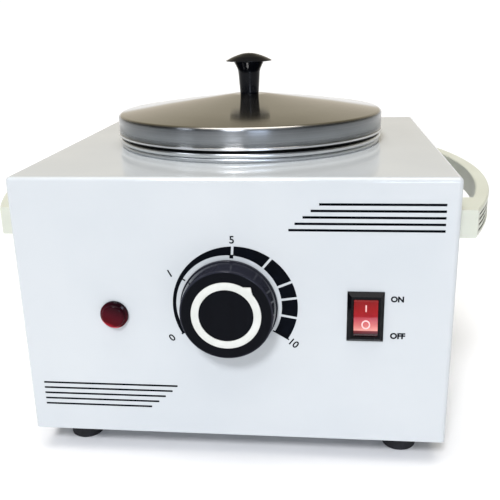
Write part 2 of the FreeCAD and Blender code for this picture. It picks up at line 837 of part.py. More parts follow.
def make_thermostat_knob():
    """Hollow moulded knob with its face to the front and a hub with a flatted bore."""
    height = knob_reach - knob_gap
    cavity = height - knob_face
    knob = turned([
        (0, height), (knob_face_radius, height, knob_edge_round),
        (knob_skirt_radius - knob_skirt_step, knob_skirt), (knob_skirt_radius, knob_skirt, 0.3),
        (knob_skirt_radius, 0), (knob_skirt_radius - knob_wall, 0),
        (knob_face_radius - knob_wall, cavity, knob_inner_round), (knob_hub_radius, cavity),
        (knob_hub_radius, hub_setback), (0, hub_setback)])
    bore_depth = shaft_reach - knob_gap + running_gap
    bore = rod(shaft_radius + running_gap, bore_depth, Vector())
    key_low = shaft_radius - shaft_flat + running_gap
    key_length = flat_length - running_gap
    key = block(2 * shaft_radius + 1, 2 * shaft_flat, key_length,
                Vector(0, key_low + shaft_flat, bore_depth - key_length / 2))
    knob = knob.cut(bore.cut(key))
    groove = ring_blank(2 * ring_inlay).translated(Vector(0, 0, height - ring_inlay))
    seat = Vector(dial_x, front - knob_gap, case_base + dial_height)
    return turn_to_pointer(placed(knob.cut(groove), seat, FORWARD))


def ring_blank(thickness, trim=0.0):
    """Flat ring with a pointer towards +Y, made smaller all round by trim."""
    ring = rod(ring_outer_radius - trim, thickness, Vector())
    root = 0.75 * ring_outer_radius
    half_width = ring_pointer_half_width - trim
    tip_half_width = 0.45 * half_width
    tip = ring_pointer - trim
    points = [Vector(-half_width, root, 0), Vector(half_width, root, 0), Vector(tip_half_width, tip, 0),
              Vector(-tip_half_width, tip, 0), Vector(-half_width, root, 0)]
    ring = ring.fuse(Part.Face(Part.makePolygon(points)).extrude(Vector(0, 0, thickness)))
    hole = rod(ring_inner_radius + trim, 2 * thickness, Vector(0, 0, -thickness / 2))
    return ring.cut(hole).removeSplitter()


def make_knob_pointer_ring():
    ring = ring_blank(ring_inlay + ring_proud, ring_trim)
    seat = Vector(dial_x, front - knob_reach + ring_inlay, case_base + dial_height)
    return turn_to_pointer(placed(ring, seat, FORWARD))


# Pilot lamp

def make_pilot_lens():
    """Red lens: a flat rim on the case and a domed cap."""
    cap_radius = lamp_radius - lamp_rim
    lens = turned([
        (0, seat_gap), (lamp_radius, seat_gap), (lamp_radius, lamp_rim_height, lamp_rim_round),
        (cap_radius, lamp_rim_height + lamp_rim_round), (cap_radius, lamp_proud, lamp_cap_round),
        (0, lamp_proud)])
    return placed(lens, Vector(lamp_x, front, case_base + lamp_height), FORWARD)


def make_pilot_body():
    """Tube behind the lens, with a narrower rear end and two wire holes."""
    rear_radius = lamp_body_radius - lamp_body_step
    body = turned([
        (0, running_gap), (lamp_body_radius, running_gap), (lamp_body_radius, -lamp_body_front),
        (rear_radius, -lamp_body_front), (rear_radius, -lamp_body), (0, -lamp_body)])
    for sign in (-1, 1):
        hole = Vector(sign * lamp_wire_pitch / 2, 0, -lamp_body)
        body = body.cut(rod(wire_radius + running_gap, lamp_wire_hole, hole))
    return placed(body, Vector(lamp_x, front, case_base + lamp_height), FORWARD)


def make_pilot_clip():
    clip = washer(lamp_body_radius + running_gap, lamp_clip_radius, lamp_clip)
    return placed(clip, Vector(lamp_x, front + sheet, case_base + lamp_height), BACKWARD)


# Rocker switch

def make_switch_body():
    """Snap-in body with a bevelled bezel and a round-backed pocket for the rocker."""
    half_width = bezel_width / 2
    bezel = Part.makeBox(bezel_width, bezel_height, bezel_proud, Vector(-half_width, -bezel_height / 2, 0))
    rim = [edge for edge in bezel.Edges if edge.BoundBox.ZMin > bezel_proud / 2]
    bezel = bezel.makeChamfer(bezel_bevel, rim)
    body = block(switch_width, switch_length, switch_depth, Vector(0, 0, -switch_depth / 2))
    switch = bezel.fuse(body).removeSplitter()
    pocket_width = rocker_width + 2 * rocker_side_gap
    pocket_start = Vector(-pocket_width / 2, 0, -rocker_pivot_depth)
    pocket = rod(rocker_radius + rocker_end_gap, pocket_width, pocket_start,
                 Vector(1, 0, 0))
    switch = switch.cut(pocket)
    pin_length = rocker_width + 2 * (rocker_pin + rocker_pin_end_gap)
    pin_hole = rod(rocker_pin_radius + running_gap, pin_length,
                   Vector(-pin_length / 2, 0, -rocker_pivot_depth), Vector(1, 0, 0))
    switch = switch.cut(pin_hole)
    return placed(switch, Vector(switch_x, front, case_base + switch_height), FORWARD)


def make_switch_rocker():
    """Two-sided paddle on its own pin, upper half pressed in, as when switched on."""
    wheel = rod(rocker_radius, rocker_width, Vector(-rocker_width / 2, 0, 0), Vector(1, 0, 0))
    rise = rocker_radius * math.tan(math.radians(rocker_slope))
    low = -rocker_back
    points = [
        Vector(0, -rocker_radius, low), Vector(0, rocker_radius, low),
        Vector(0, rocker_radius, rocker_face + rise), Vector(0, 0, rocker_face),
        Vector(0, -rocker_radius, rocker_face + rise), Vector(0, -rocker_radius, low)]
    face = Part.Face(Part.makePolygon(points))
    keep = face.extrude(Vector(rocker_width, 0, 0)).translated(Vector(-rocker_width / 2, 0, 0))
    rocker = wheel.common(keep)
    pin_length = rocker_width + 2 * rocker_pin
    rocker = rocker.fuse(rod(rocker_pin_radius, pin_length, Vector(-pin_length / 2, 0, 0), Vector(1, 0, 0)))
    rocker = rocker.removeSplitter()
    rocker = spun(rocker, -rocker_tilt, Vector(), Vector(1, 0, 0))
    pivot = Vector(switch_x, front + rocker_pivot_depth, case_base + switch_height)
    return placed(rocker, pivot, FORWARD)


def switch_tab_points():
    rear = front + switch_depth
    z = case_base + switch_height
    return [Vector(switch_x, rear + running_gap, z + step * tab_pitch) for step in (-1, 0, 1)]


def make_switch_tabs():
    return group([block(tab_width, tab_length, tab_thickness, point + Vector(0, tab_length / 2, 0))
                  for point in switch_tab_points()])


# Side handles

def handle_arc(bulge, half_length):
    """Radius of the arc that rises by bulge over a half length."""
    return (half_length ** 2 + bulge ** 2) / (2 * bulge)


def make_handle_right():
    """Arched bar with a foot at each end, flat against the case's side."""
    low = case_base + handle_low
    middle = low + handle_height / 2
    outer_radius = handle_arc(handle_reach - handle_end_reach, handle_half_length)
    centre_x = side + handle_reach - outer_radius
    blank = rod(outer_radius, handle_height, Vector(centre_x, 0, low))
    window = block(2 * handle_reach, 2 * handle_half_length, 2 * handle_height,
                   Vector(side + handle_reach, 0, middle))
    blank = blank.common(window)
    finger_half_length = handle_half_length - handle_foot
    finger = rod(outer_radius - handle_bar, 2 * handle_height, Vector(centre_x, 0, low - handle_height / 2))
    finger = finger.common(block(2 * handle_reach, 2 * finger_half_length, 2 * handle_height,
                                 Vector(side, 0, middle)))
    handle = blank.cut(finger)
    rounds = [edge for edge in handle.Edges
              if edge.BoundBox.ZLength < running_gap and edge.BoundBox.XMin > side + running_gap]
    handle = handle.makeFillet(handle_round, rounds)
    handle = handle.cut(make_grip_recess(outer_radius, centre_x, low))
    for point in handle_screw_points():
        handle = handle.cut(rod(screw_large / 2 + thread_gap, handle_screw_length, point, Vector(1, 0, 0)))
    return handle


def arc_slab(inner, outer, height, centre, first, last):
    """Part of an upright ring between two angles in degrees."""
    ring = Part.makeCylinder(outer, height, centre, UP, last - first)
    core = rod(inner, 2 * height, centre - Vector(0, 0, height / 2))
    return spun(ring.cut(core), first, centre)


def make_grip_recess(outer_radius, centre_x, low):
    """Cutter for the outer face: a shallow trough that leaves rows of small raised pads."""
    floor = outer_radius - grip_recess
    row_span = handle_height - 2 * (grip_margin + handle_round / 2)
    bottom = low + (handle_height - row_span) / 2
    half_angle = math.degrees(math.asin((handle_half_length - grip_end_margin) / outer_radius))
    trough = arc_slab(floor, outer_radius + grip_recess, row_span, Vector(centre_x, 0, bottom),
                      -half_angle, half_angle)
    pad_height = (row_span - grip_row_gap * (grip_rows + 1)) / grip_rows
    column_angle = 2 * half_angle / grip_columns
    gap_angle = math.degrees(grip_column_gap / outer_radius)
    pads = []
    for row in range(grip_rows):
        corner = Vector(centre_x, 0, bottom + grip_row_gap + row * (pad_height + grip_row_gap))
        for column in range(grip_columns):
            first = -half_angle + column * column_angle + gap_angle / 2
            pads.append(arc_slab(floor - grip_pad_drop, outer_radius - grip_pad_drop, pad_height, corner,
                                 first, first + column_angle - gap_angle))
    return trough.cut(Part.makeCompound(pads))


def mirrored(shape):
    return shape.mirror(Vector(), Vector(1, 0, 0))


def make_handle_screws():
    inside = side - sheet - handle_washer
    screws = []
    for point in handle_screw_points():
        screw = placed(pan_screw(screw_large, handle_screw_length), Vector(inside, point.y, point.z),
                       Vector(-1, 0, 0))
        screws += [screw, mirrored(screw)]
    return group(screws)


def make_handle_washers():
    washers = []
    for point in handle_screw_points():
        ring = placed(washer(screw_large / 2 + pass_gap, handle_washer_radius, handle_washer),
                      Vector(side - sheet, point.y, point.z), Vector(-1, 0, 0))
        washers += [ring, mirrored(ring)]
    return group(washers)


# Lid

def make_lid_shell():
    """Spun steel lid: a shallow cone, a flat for the knob, a tight shoulder and a hemmed skirt."""
    inner_edge = lid_edge - lid_sheet
    inner_radius = lid_radius - lid_sheet
    hem_radius = lid_radius + lid_hem_bulge
    hem_round = 0.3 * lid_hem
    hole = screw_large / 2 + pass_gap
    lid = turned([
        (hole, lid_top - lid_sheet), (lid_crown_radius, lid_top - lid_sheet, lid_crown_round),
        (lid_belly_radius, inner_edge + lid_belly_rise, lid_belly_round),
        (inner_radius, inner_edge, lid_shoulder - lid_sheet),
        (inner_radius, skirt_low), (hem_radius, skirt_low, hem_round),
        (hem_radius, skirt_low + lid_hem, hem_round), (lid_radius, skirt_low + lid_hem),
        (lid_radius, lid_edge, lid_shoulder), (lid_belly_radius, lid_edge + lid_belly_rise, lid_belly_round),
        (lid_crown_radius, lid_top, lid_crown_round), (hole, lid_top)])
    return around_pot(lid)


def make_lid_locating_ring():
    """Pressed ring: a tube into the pot's mouth, a lip on the rim and a collar inside the skirt."""
    tube_outer = pot_radius - pot_wall - lid_plug_gap
    tube_inner = tube_outer - lid_sheet
    collar_outer = lid_radius - lid_sheet - running_gap
    collar_inner = collar_outer - lid_sheet
    lip_outer = collar_outer - lid_ring_step
    lip_top = lid_seat + lid_sheet
    ring = turned([
        (tube_inner, lid_seat - lid_plug), (tube_outer, lid_seat - lid_plug), (tube_outer, lid_seat),
        (lip_outer, lid_seat), (lip_outer, lip_top), (collar_outer, lip_top),
        (collar_outer, lip_top + lid_ring_collar), (collar_inner, lip_top + lid_ring_collar),
        (collar_inner, lip_top + lid_sheet), (tube_inner, lip_top + lid_sheet)])
    return around_pot(ring)


def make_lid_knob():
    """Moulded mushroom knob: a slim stem that flares into a thin-edged, domed cap."""
    cap = lid_knob_cap_radius
    level = lid_knob_height - lid_knob_cap
    edge = level + lid_knob_lip
    knob = turned([
        (0, 0), (lid_knob_base_radius, 0, lid_knob_base_round),
        (lid_knob_neck_radius, lid_knob_neck_height, lid_knob_neck_round), (lid_knob_flare_radius, level),
        (cap, edge), (cap, edge + lid_knob_edge),
        (lid_knob_shoulder_radius, lid_knob_height - lid_knob_shoulder_drop, lid_knob_dome_round),
        (lid_knob_crown_radius, lid_knob_height, lid_knob_dome_round), (0, lid_knob_height)])
    knob = knob.cut(rod(screw_large / 2 + thread_gap, knob_hole, Vector()))
    return around_pot(knob.translated(Vector(0, 0, lid_top)))


def make_lid_knob_washer():
    ring = washer(screw_large / 2 + pass_gap, knob_washer_radius, knob_washer)
    return around_pot(ring.translated(Vector(0, 0, lid_washer_low)))


def make_lid_knob_screw():
    screw = pan_screw(screw_large, knob_washer + lid_sheet + knob_screw_end)
    return around_pot(placed(screw, Vector(0, 0, lid_washer_low), DOWN))


# Supply

def make_cord_gland():
    """Nylon gland: flange against the back, domed cap outside, thread inside, plain bore."""
    inner_end = -gland_tail - sheet
    gland = turned([
        (gland_bore_radius, inner_end), (gland_thread_radius, inner_end, gland_mouth_round),
        (gland_thread_radius, 0), (gland_flange_radius, 0), (gland_flange_radius, gland_flange, 0.6),
        (gland_cap_radius, gland_flange), (gland_cap_radius, gland_reach, gland_cap_round),
        (gland_bore_radius, gland_reach, gland_mouth_round)])
    notch_circle = gland_cap_radius + gland_notch_radius / 3
    for step in range(gland_notches):
        angle = 2 * math.pi * step / gland_notches
        low = Vector(notch_circle * math.cos(angle), notch_circle * math.sin(angle),
                     gland_flange + gland_mouth_round)
        gland = gland.cut(rod(gland_notch_radius, gland_reach, low))
    return placed(gland, Vector(gland_x, back, case_base + gland_height), BACKWARD)


def make_gland_nut():
    nut = hexagon(gland_nut_flats, gland_nut, gland_thread_radius + thread_gap)
    return placed(nut, Vector(gland_x, back - sheet, case_base + gland_height), FORWARD)


def make_terminal_block():
    """Two-way moulded block: clamping wells on top, wire bores front to back, one fixing hole."""
    floor = Vector(block_x, block_y, plate_top)
    body = block(block_length, block_width, block_height, floor + Vector(0, 0, block_height / 2))
    for sign in (-1, 1):
        way = floor + Vector(sign * block_way, 0, block_wire_height)
        body = body.cut(rod(block_clamp_radius, block_height, way))
        body = body.cut(rod(wire_radius + running_gap, block_width, way + Vector(0, -block_width / 2, 0),
                            BACKWARD))
    body = body.cut(rod(screw_small / 2 + pass_gap, block_height, floor))
    return body.cut(rod(1.1 * screw_small, block_height, Vector(block_x, block_y, block_screw_seat)))


def make_block_screw():
    """Fixing screw down into the base plate."""
    screw = pan_screw(screw_small, block_screw_seat - case_base + sheet)
    return placed(screw, Vector(block_x, block_y, block_screw_seat))


def make_block_clamps():
    """Brass clamping screws in the two wells, above the wires."""
    low = plate_top + block_wire_height + wire_radius + running_gap
    height = plate_top + block_height - block_clamp_recess - low
    return group([rod(block_clamp_radius - running_gap, height,
                      Vector(block_x + sign * block_way, block_y, low)) for sign in (-1, 1)])


def block_wire_ends():
    """Where the live wire and the neutral wire end inside the block."""
    z = plate_top + block_wire_height
    return (Vector(block_x - block_way, block_y - block_wire_stop, z),
            Vector(block_x + block_way, block_y + block_wire_stop, z))


def switch_tab_end(index):
    point = switch_tab_points()[index]
    return point + Vector(0, tab_length + running_gap, 0)


def thermostat_tab_end(index):
    point = thermostat_tab_points()[index]
    return Vector(point.x, point.y, point.z - tab_length - running_gap)


def terminal_end(index):
    """End of a heater stud, and the direction it points in."""
    angle = math.radians(terminal_angles[index])
    outward = Vector(math.cos(angle), math.sin(angle), 0)
    reach = terminal_seat + terminal_length + running_gap
    return Vector(0, pot_offset, terminal_level) + outward * reach, outward


def make_lead_live():
    """Block to the switch, along the left side and the front."""
    start = block_wire_ends()[0]
    end = switch_tab_end(2)
    low = plate_top + lead_run
    return tube([
        start, start + FORWARD * 2 * lead_run, Vector(-side + 10, pot_offset + 2.5, low),
        Vector(-side + 10, pot_offset - 49.5, low), Vector(-side + 26, front + 15, low),
        Vector(-8, front + 12, low - 1), Vector(switch_x - 14, front + 16, low + 3),
        Vector(switch_x - 3, front + 34, low + 22), end + BACKWARD * 1.5 * lead_run + DOWN * lead_run,
        end + BACKWARD * lead_run, end], wire_radius)


def make_lead_switched():
    """Switch to the thermostat."""
    start = switch_tab_end(1)
    end = thermostat_tab_end(1)
    return tube([
        start, start + BACKWARD * lead_run, start + Vector(-10, 7, -20),
        Vector(end.x + 14, end.y - 2, end.z - 14), end + DOWN * lead_run, end], wire_radius)


def make_lead_heater():
    """Thermostat to the first heater stud, round the left of the well."""
    start = thermostat_tab_end(0)
    end, outward = terminal_end(1)
    return tube([
        start, start + DOWN * lead_run, Vector(-32, front + 14, start.z - 14),
        Vector(-side + 16, front + 38, start.z - 6), Vector(-side + 8, pot_offset, start.z + 2),
        end + outward * lead_run + Vector(0, -8, -2), end + outward * lead_run, end], wire_radius)


def make_lead_neutral():
    """Block to the second heater stud, up the back of the case."""
    start = block_wire_ends()[1]
    end, outward = terminal_end(0)
    return tube([
        start, start + BACKWARD * (block_width / 2 + lead_run),
        start + Vector(lead_run / 2, lead_run, 2 * lead_run),
        end + outward * lead_run + DOWN * lead_run, end + outward * lead_run, end], wire_radius)


def make_lamp_leads():
    """Two short leads that drop from the lamp."""
    rear = front + lamp_body
    z = case_base + lamp_height
    leads = []
    for sign in (-1, 1):
        x = lamp_x + sign * lamp_wire_pitch / 2
        leads.append(tube([
            (x, rear - lamp_wire_hole + running_gap, z), (x, rear + 7, z), (x + sign * 2, rear + 8, z - 9),
            (x + sign * 3, rear + 4, z - 18)], wire_radius))
    return group(leads)


# Sensor

def bulb_axis():
    angle = math.radians(bulb_angle)
    return Vector(bulb_reach * math.cos(angle), pot_offset + bulb_reach * math.sin(angle), 0)


def make_sensor_bulb():
    bulb = turned([(0, 0), (bulb_radius, 0, bulb_round), (bulb_radius, bulb_length, bulb_round),
                   (0, bulb_length)])
    return placed(bulb, bulb_axis() + Vector(0, 0, bulb_low))


def make_bulb_clip():
    """Band round the well with a fold over the bulb."""
    z = bulb_low + (bulb_length - bulb_clip_height) / 2
    low = Vector(0, 0, z)
    inner = well_outer + running_gap / 2
    fold_inner = bulb_radius + running_gap
    fold_at = Vector(bulb_reach, 0, z)
    clip = washer(inner, inner + bulb_clip_thickness, bulb_clip_height).translated(low)
    clip = clip.fuse(rod(fold_inner + bulb_clip_thickness, bulb_clip_height, fold_at))
    clip = clip.cut(rod(fold_inner, bulb_clip_height, fold_at)).cut(rod(inner, bulb_clip_height, low))
    return around_pot(spun(clip.removeSplitter(), bulb_angle))


def make_capillary():
    """Thin copper tube from the thermostat's drum to the bulb."""
    rear = front + thermostat_rear
    start = Vector(dial_x - capillary_side, rear + running_gap, case_base + dial_height + capillary_rise)
    end = bulb_axis() + Vector(0, 0, bulb_low + bulb_length + running_gap)
    return tube([
        start, start + Vector(0, 2.8, 0), start + Vector(-8.5, 4.0, 15), end + Vector(-2, -6, 3),
        end + Vector(0, 0, 5), end], capillary_radius)


PIECES = {
    "housing_shell": make_housing_shell,
    "base_plate": make_base_plate,
    "case_screws": make_case_screws,
    "foot_screws": make_foot_screws,
    "foot_nuts": make_foot_nuts,
    "wax_pot": make_wax_pot,
    "heating_well": make_heating_well,
    "band_heater": make_band_heater,
    "heater_clamp_screw": make_heater_clamp_screw,
    "heater_clamp_nut": make_heater_clamp_nut,
    "heater_terminals": make_heater_terminals,
    "insulation_jacket": make_insulation_jacket,
    "heat_shield": make_heat_shield,
    "shield_spacers": make_shield_spacers,
    "shield_screws": make_shield_screws,
    "shield_nuts": make_shield_nuts,
    "well_bolt": make_well_bolt,
    "thermal_cutout": make_thermal_cutout,
    "cutout_strap": make_cutout_strap,
    "strap_nut": make_strap_nut,
    "thermostat_body": make_thermostat_body,
    "thermostat_screws": make_thermostat_screws,
    "thermostat_tabs": make_thermostat_tabs,
    "sensor_bulb": make_sensor_bulb,
    "bulb_clip": make_bulb_clip,
    "capillary": make_capillary,
    "thermostat_shaft": make_thermostat_shaft,
    "thermostat_knob": make_thermostat_knob,
    "knob_pointer_ring": make_knob_pointer_ring,
    "pilot_lens": make_pilot_lens,
    "pilot_body": make_pilot_body,
    "pilot_clip": make_pilot_clip,
    "switch_body": make_switch_body,
    "switch_rocker": make_switch_rocker,
    "switch_tabs": make_switch_tabs,
    "handle_screws": make_handle_screws,
    "handle_washers": make_handle_washers,
    "lid_shell": make_lid_shell,
    "lid_locating_ring": make_lid_locating_ring,
    "lid_knob": make_lid_knob,
    "lid_knob_washer": make_lid_knob_washer,
    "lid_knob_screw": make_lid_knob_screw,
    "cord_gland": make_cord_gland,
    "gland_nut": make_gland_nut,
    "terminal_block": make_terminal_block,
    "block_screw": make_block_screw,
    "block_clamps": make_block_clamps,
    "lead_live": make_lead_live,
    "lead_switched": make_lead_switched,
    "lead_heater": make_lead_heater,
    "lead_neutral": make_lead_neutral,
    "lamp_leads": make_lamp_leads,
}

os.makedirs("parts", exist_ok=True)
shapes = {name: make() for name, make in PIECES.items()}
handle = make_handle_right()
shapes["handle_right"] = handle
shapes["handle_left"] = mirrored(handle)
foot_names = ("foot_front_left", "foot_front_right", "foot_rear_left", "foot_rear_right")
for name, centre in zip(foot_names, foot_centres()):
    shapes[name] = make_foot(centre)
for name, shape in shapes.items():
    shape.exportStep(f"parts/{name}.step")
    print(f"{name}: {len(shape.Solids)} solids, {shape.Volume:.1f} mm3, valid {shape.isValid()}")
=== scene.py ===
import math

import bmesh
import bpy
from mathutils import Matrix, Vector
from mathutils.bvhtree import BVHTree


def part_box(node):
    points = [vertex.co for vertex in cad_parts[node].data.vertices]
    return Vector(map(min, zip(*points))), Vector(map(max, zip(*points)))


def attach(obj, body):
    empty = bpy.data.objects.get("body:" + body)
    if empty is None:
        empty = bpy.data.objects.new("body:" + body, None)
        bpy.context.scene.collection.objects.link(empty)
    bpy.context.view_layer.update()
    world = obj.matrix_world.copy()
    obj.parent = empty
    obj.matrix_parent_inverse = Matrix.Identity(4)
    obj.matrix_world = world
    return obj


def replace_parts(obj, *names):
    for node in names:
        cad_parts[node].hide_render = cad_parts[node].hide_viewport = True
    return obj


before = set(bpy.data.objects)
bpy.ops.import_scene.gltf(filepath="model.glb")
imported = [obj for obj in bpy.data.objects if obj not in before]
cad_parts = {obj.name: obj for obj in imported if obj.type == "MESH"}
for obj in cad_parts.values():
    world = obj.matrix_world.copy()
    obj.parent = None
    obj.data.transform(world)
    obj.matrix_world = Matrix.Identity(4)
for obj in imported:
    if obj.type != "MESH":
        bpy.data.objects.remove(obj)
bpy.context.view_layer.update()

# ---------------------------------------------------------------- Camera
# A 50 mm lens a little above the lid and to its right. It is turned to the left, looks down on the
# front, and leans by about a degree.
camera_place = Vector((0.03591, -0.33532, 0.17593))
camera_yaw = 6.26
camera_pitch = 18.19
camera_roll = 1.28
camera_lens = 50.59

camera_data = bpy.data.cameras.new("camera")
camera_data.lens = camera_lens
camera_data.sensor_width = 36
camera_data.clip_start = 0.01
camera = bpy.data.objects.new("camera", camera_data)
camera.matrix_world = (Matrix.Translation(camera_place)
                       @ Matrix.Rotation(math.radians(camera_yaw), 4, "Z")
                       @ Matrix.Rotation(math.radians(90 - camera_pitch), 4, "X")
                       @ Matrix.Rotation(math.radians(-camera_roll), 4, "Z"))
bpy.context.scene.collection.objects.link(camera)
bpy.context.scene.camera = camera
bpy.context.scene.view_settings.view_transform = "Standard"


# ---------------------------------------------------------------- Studio
# A room that is white near the floor, warm grey above and behind, and cool grey in front, so that
# steel and black plastic have something to mirror. A low window and a small lamp stand in front. Two
# even lights shine from far off: a wide one from the ceiling, and the key light from the upper left.
def linear(colour):
    """Linear red, green, blue and alpha of an sRGB hex colour."""
    parts = [int(colour[i:i + 2], 16) / 255 for i in (0, 2, 4)]
    return [c / 12.92 if c <= 0.04045 else ((c + 0.055) / 1.055) ** 2.4 for c in parts] + [1.0]


def add_node(tree, kind, settings=None, links=None):
    """Adds a shader node. Settings are its properties and its inputs' values, and links are outputs
    that are joined to its inputs. An input goes by its name or its number."""
    made = tree.nodes.new("ShaderNode" + kind)
    for key, value in (settings or {}).items():
        if key == "stops":
            elements = made.color_ramp.elements
            while len(elements) < len(value):
                elements.new(0.5)
            for stop, (place, colour) in zip(elements, value):
                stop.position = place
                stop.color = linear(colour)
        elif isinstance(key, int) or key in made.inputs:
            made.inputs[key].default_value = value
        else:
            setattr(made, key, value)
    for key, source in (links or {}).items():
        tree.links.new(source, made.inputs[key])
    return made


room = bpy.data.worlds.new("studio_room")
room.use_nodes = True
tree = room.node_tree
tree.nodes.clear()
way = add_node(tree, "TexCoord").outputs["Generated"]
way = add_node(tree, "SeparateXYZ", links={0: way})
behind = add_node(tree, "ValToRGB", {"stops": [(0.05, "FFFFFF"), (0.1, "D6CEBF"), (0.18, "C8C0B0"),
                                               (0.36, "BDB6A4"), (0.6, "908976"), (0.8, "8A8472"),
                                               (1.0, "D0CABC")]}, {0: way.outputs["Z"]})
before = add_node(tree, "ValToRGB", {"stops": [(0.06, "DCE0E4"), (0.2, "5C6268"), (0.5, "484E54"),
                                               (0.8, "7A7F83"), (1.0, "D8D6D0")]}, {0: way.outputs["Z"]})
backward = add_node(tree, "MapRange", {"From Min": -0.3, "From Max": 0.2}, {0: way.outputs["Y"]})
room_colour = add_node(tree, "Mix", {"data_type": "RGBA"},
                       {0: backward.outputs[0], 6: before.outputs[0], 7: behind.outputs[0]})

# The walls at both sides are darker, but not near the floor.
sideways = add_node(tree, "Math", {"operation": "ABSOLUTE"}, {0: way.outputs["X"]})
walls = add_node(tree, "ValToRGB", {"stops": [(0.5, "FFFFFF"), (0.85, "70706E")]},
                 {0: sideways.outputs[0]})
above_floor = add_node(tree, "MapRange", {"From Min": 0.06, "From Max": 0.25}, {0: way.outputs["Z"]})
room_colour = add_node(tree, "Mix", {"data_type": "RGBA", "blend_type": "MULTIPLY"},
                       {0: above_floor.outputs[0], 6: room_colour.outputs[2], 7: walls.outputs[0]})
sky = add_node(tree, "Background", {"Strength": 1.05}, {"Color": room_colour.outputs[2]})
add_node(tree, "OutputWorld", links={"Surface": sky.outputs[0]})
bpy.context.scene.world = room


def soft_lamp(name, azimuth, elevation, distance, width, height, power, colour):
    """A soft box that looks at the object. Azimuth is degrees from the front towards the right."""
    turn, rise = math.radians(azimuth), math.radians(elevation)
    aim = Vector((0, -0.03, 0.07))
    away = Vector((math.sin(turn) * math.cos(rise), -math.cos(turn) * math.cos(rise), math.sin(rise)))
    light = bpy.data.lights.new(name, "AREA")
    light.shape = "RECTANGLE"
    light.size = width
    light.size_y = height
    light.energy = power
    light.color = linear(colour)[:3]
    holder = bpy.data.objects.new(name, light)
    holder.location = aim + away * distance
    holder.rotation_euler = (-away).to_track_quat("-Z", "Y").to_euler()
    bpy.context.scene.collection.objects.link(holder)


def far_light(name, azimuth, elevation, spread, energy, colour):
    """An even light from far away, whose source is that many degrees wide."""
    light = bpy.data.lights.new(name, "SUN")
    light.angle = math.radians(spread)
    light.energy = energy
    light.color = linear(colour)[:3]
    holder = bpy.data.objects.new(name, light)
    holder.rotation_euler = (math.radians(90 - elevation), 0, math.radians(azimuth))
    bpy.context.scene.collection.objects.link(holder)


soft_lamp("window", azimuth=13, elevation=6, distance=1.7, width=0.45, height=0.2, power=5.5,
          colour="DCE9FF")
soft_lamp("side_lamp", azimuth=-56, elevation=36, distance=1.0, width=0.2, height=0.14, power=1.0,
          colour="F1F6FF")
far_light("ceiling_light", azimuth=0, elevation=86, spread=50, energy=2.05, colour="FFFCF8")
far_light("key_light", azimuth=-11, elevation=44, spread=13, energy=2.6, colour="F7F9FF")


def start_finish(name):
    """An empty material with its shader, and the place on the object in metres."""
    material = bpy.data.materials.new(name)
    material.use_nodes = True
    tree = material.node_tree
    tree.nodes.clear()
    shader = add_node(tree, "BsdfPrincipled")
    add_node(tree, "OutputMaterial", links={"Surface": shader.outputs[0]})
    place = add_node(tree, "TexCoord").outputs["Object"]
    return material, tree, shader, place


def finish_with(tree, shader, colour, roughness, height, depth, **sockets):
    """Joins colour, roughness and a bump of that depth in mm to the shader, and sets its sockets."""
    bump = add_node(tree, "Bump", {"Distance": depth / 1000}, {"Height": height})
    tree.links.new(colour, shader.inputs["Base Color"])
    tree.links.new(roughness, shader.inputs["Roughness"])
    tree.links.new(bump.outputs["Normal"], shader.inputs["Normal"])
    for socket, value in sockets.items():
        shader.inputs[socket.replace("_", " ")].default_value = value


def mottled_finish(name, light, dark, patch, grain, depth, roughness, spread=0.05, **sockets):
    """A skin that drifts between two colours and two gloss levels over patches of that size in mm.
    Its grains are that many mm across and deep."""
    material, tree, shader, place = start_finish(name)
    patches = add_node(tree, "TexNoise", {"Scale": 1000 / patch, "Detail": 3.0}, {"Vector": place})
    grains = add_node(tree, "TexNoise", {"Scale": 1000 / grain, "Detail": 2.0}, {"Vector": place})
    colour = add_node(tree, "ValToRGB", {"stops": [(0.3, dark), (0.7, light)]}, {0: patches.outputs["Fac"]})
    gloss = add_node(tree, "MapRange", {1: 0.3, 2: 0.7, 3: roughness - spread, 4: roughness + spread},
                     {0: patches.outputs["Fac"]})
    finish_with(tree, shader, colour.outputs[0], gloss.outputs[0], grains.outputs["Fac"], depth, **sockets)
    return material


# The table: a sheet of opal acrylic lit softly from below, pale all over, so that shadows stay light.
opal_acrylic = mottled_finish("opal_acrylic", "E4E4E4", "E0E0E0", patch=300, grain=2, depth=0.01,
                              roughness=0.6, Emission_Color=linear("EEF4FF"), Emission_Strength=0.08)
table_radius = 6
table_bm = bmesh.new()
bmesh.ops.create_circle(table_bm, cap_ends=True, segments=96, radius=table_radius)
table_mesh = bpy.data.meshes.new("table_top")
table_bm.to_mesh(table_mesh)
table_bm.free()
table_mesh.materials.append(opal_acrylic)
table = bpy.data.objects.new("table_top", table_mesh)
bpy.context.scene.collection.objects.link(table)


# ---------------------------------------------------------------- Case
# Folded and welded sheet steel, open below. It is sprayed with bluish white enamel and baked, which
# leaves a gloss with the faint orange peel of sprayed paint.
def dress(material, *names):
    """Gives CAD nodes their finish."""
    for name in names:
        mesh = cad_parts[name].data
        mesh.materials.clear()
        mesh.materials.append(material)


dress(mottled_finish("baked_enamel", "BBBEBF", "B5B9BB", patch=55, grain=1.8, depth=0.004, roughness=0.1,
                     spread=0.03), "housing_shell")


# ---------------------------------------------------------------- Printing on the front
# Black ink, screen printed through a mesh on the enamel: the dial, two groups of stripes and the
# switch's two words. The film is thin and dense, with the slight tooth of the mesh.
screen_ink = mottled_finish("screen_ink", "060910", "030509", patch=3, grain=0.35, depth=0.002,
                            roughness=0.5, Specular_IOR_Level=0.03)
ink_film = 0.04
case_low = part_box("housing_shell")[0].z * 1000
sharp_angle = 30
before_case = -0.2


def surface_of(node):
    """A CAD node's surface as a tree that a ray can be shot at."""
    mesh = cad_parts[node].data
    return BVHTree.FromPolygons([v.co[:] for v in mesh.vertices], [p.vertices[:] for p in mesh.polygons])


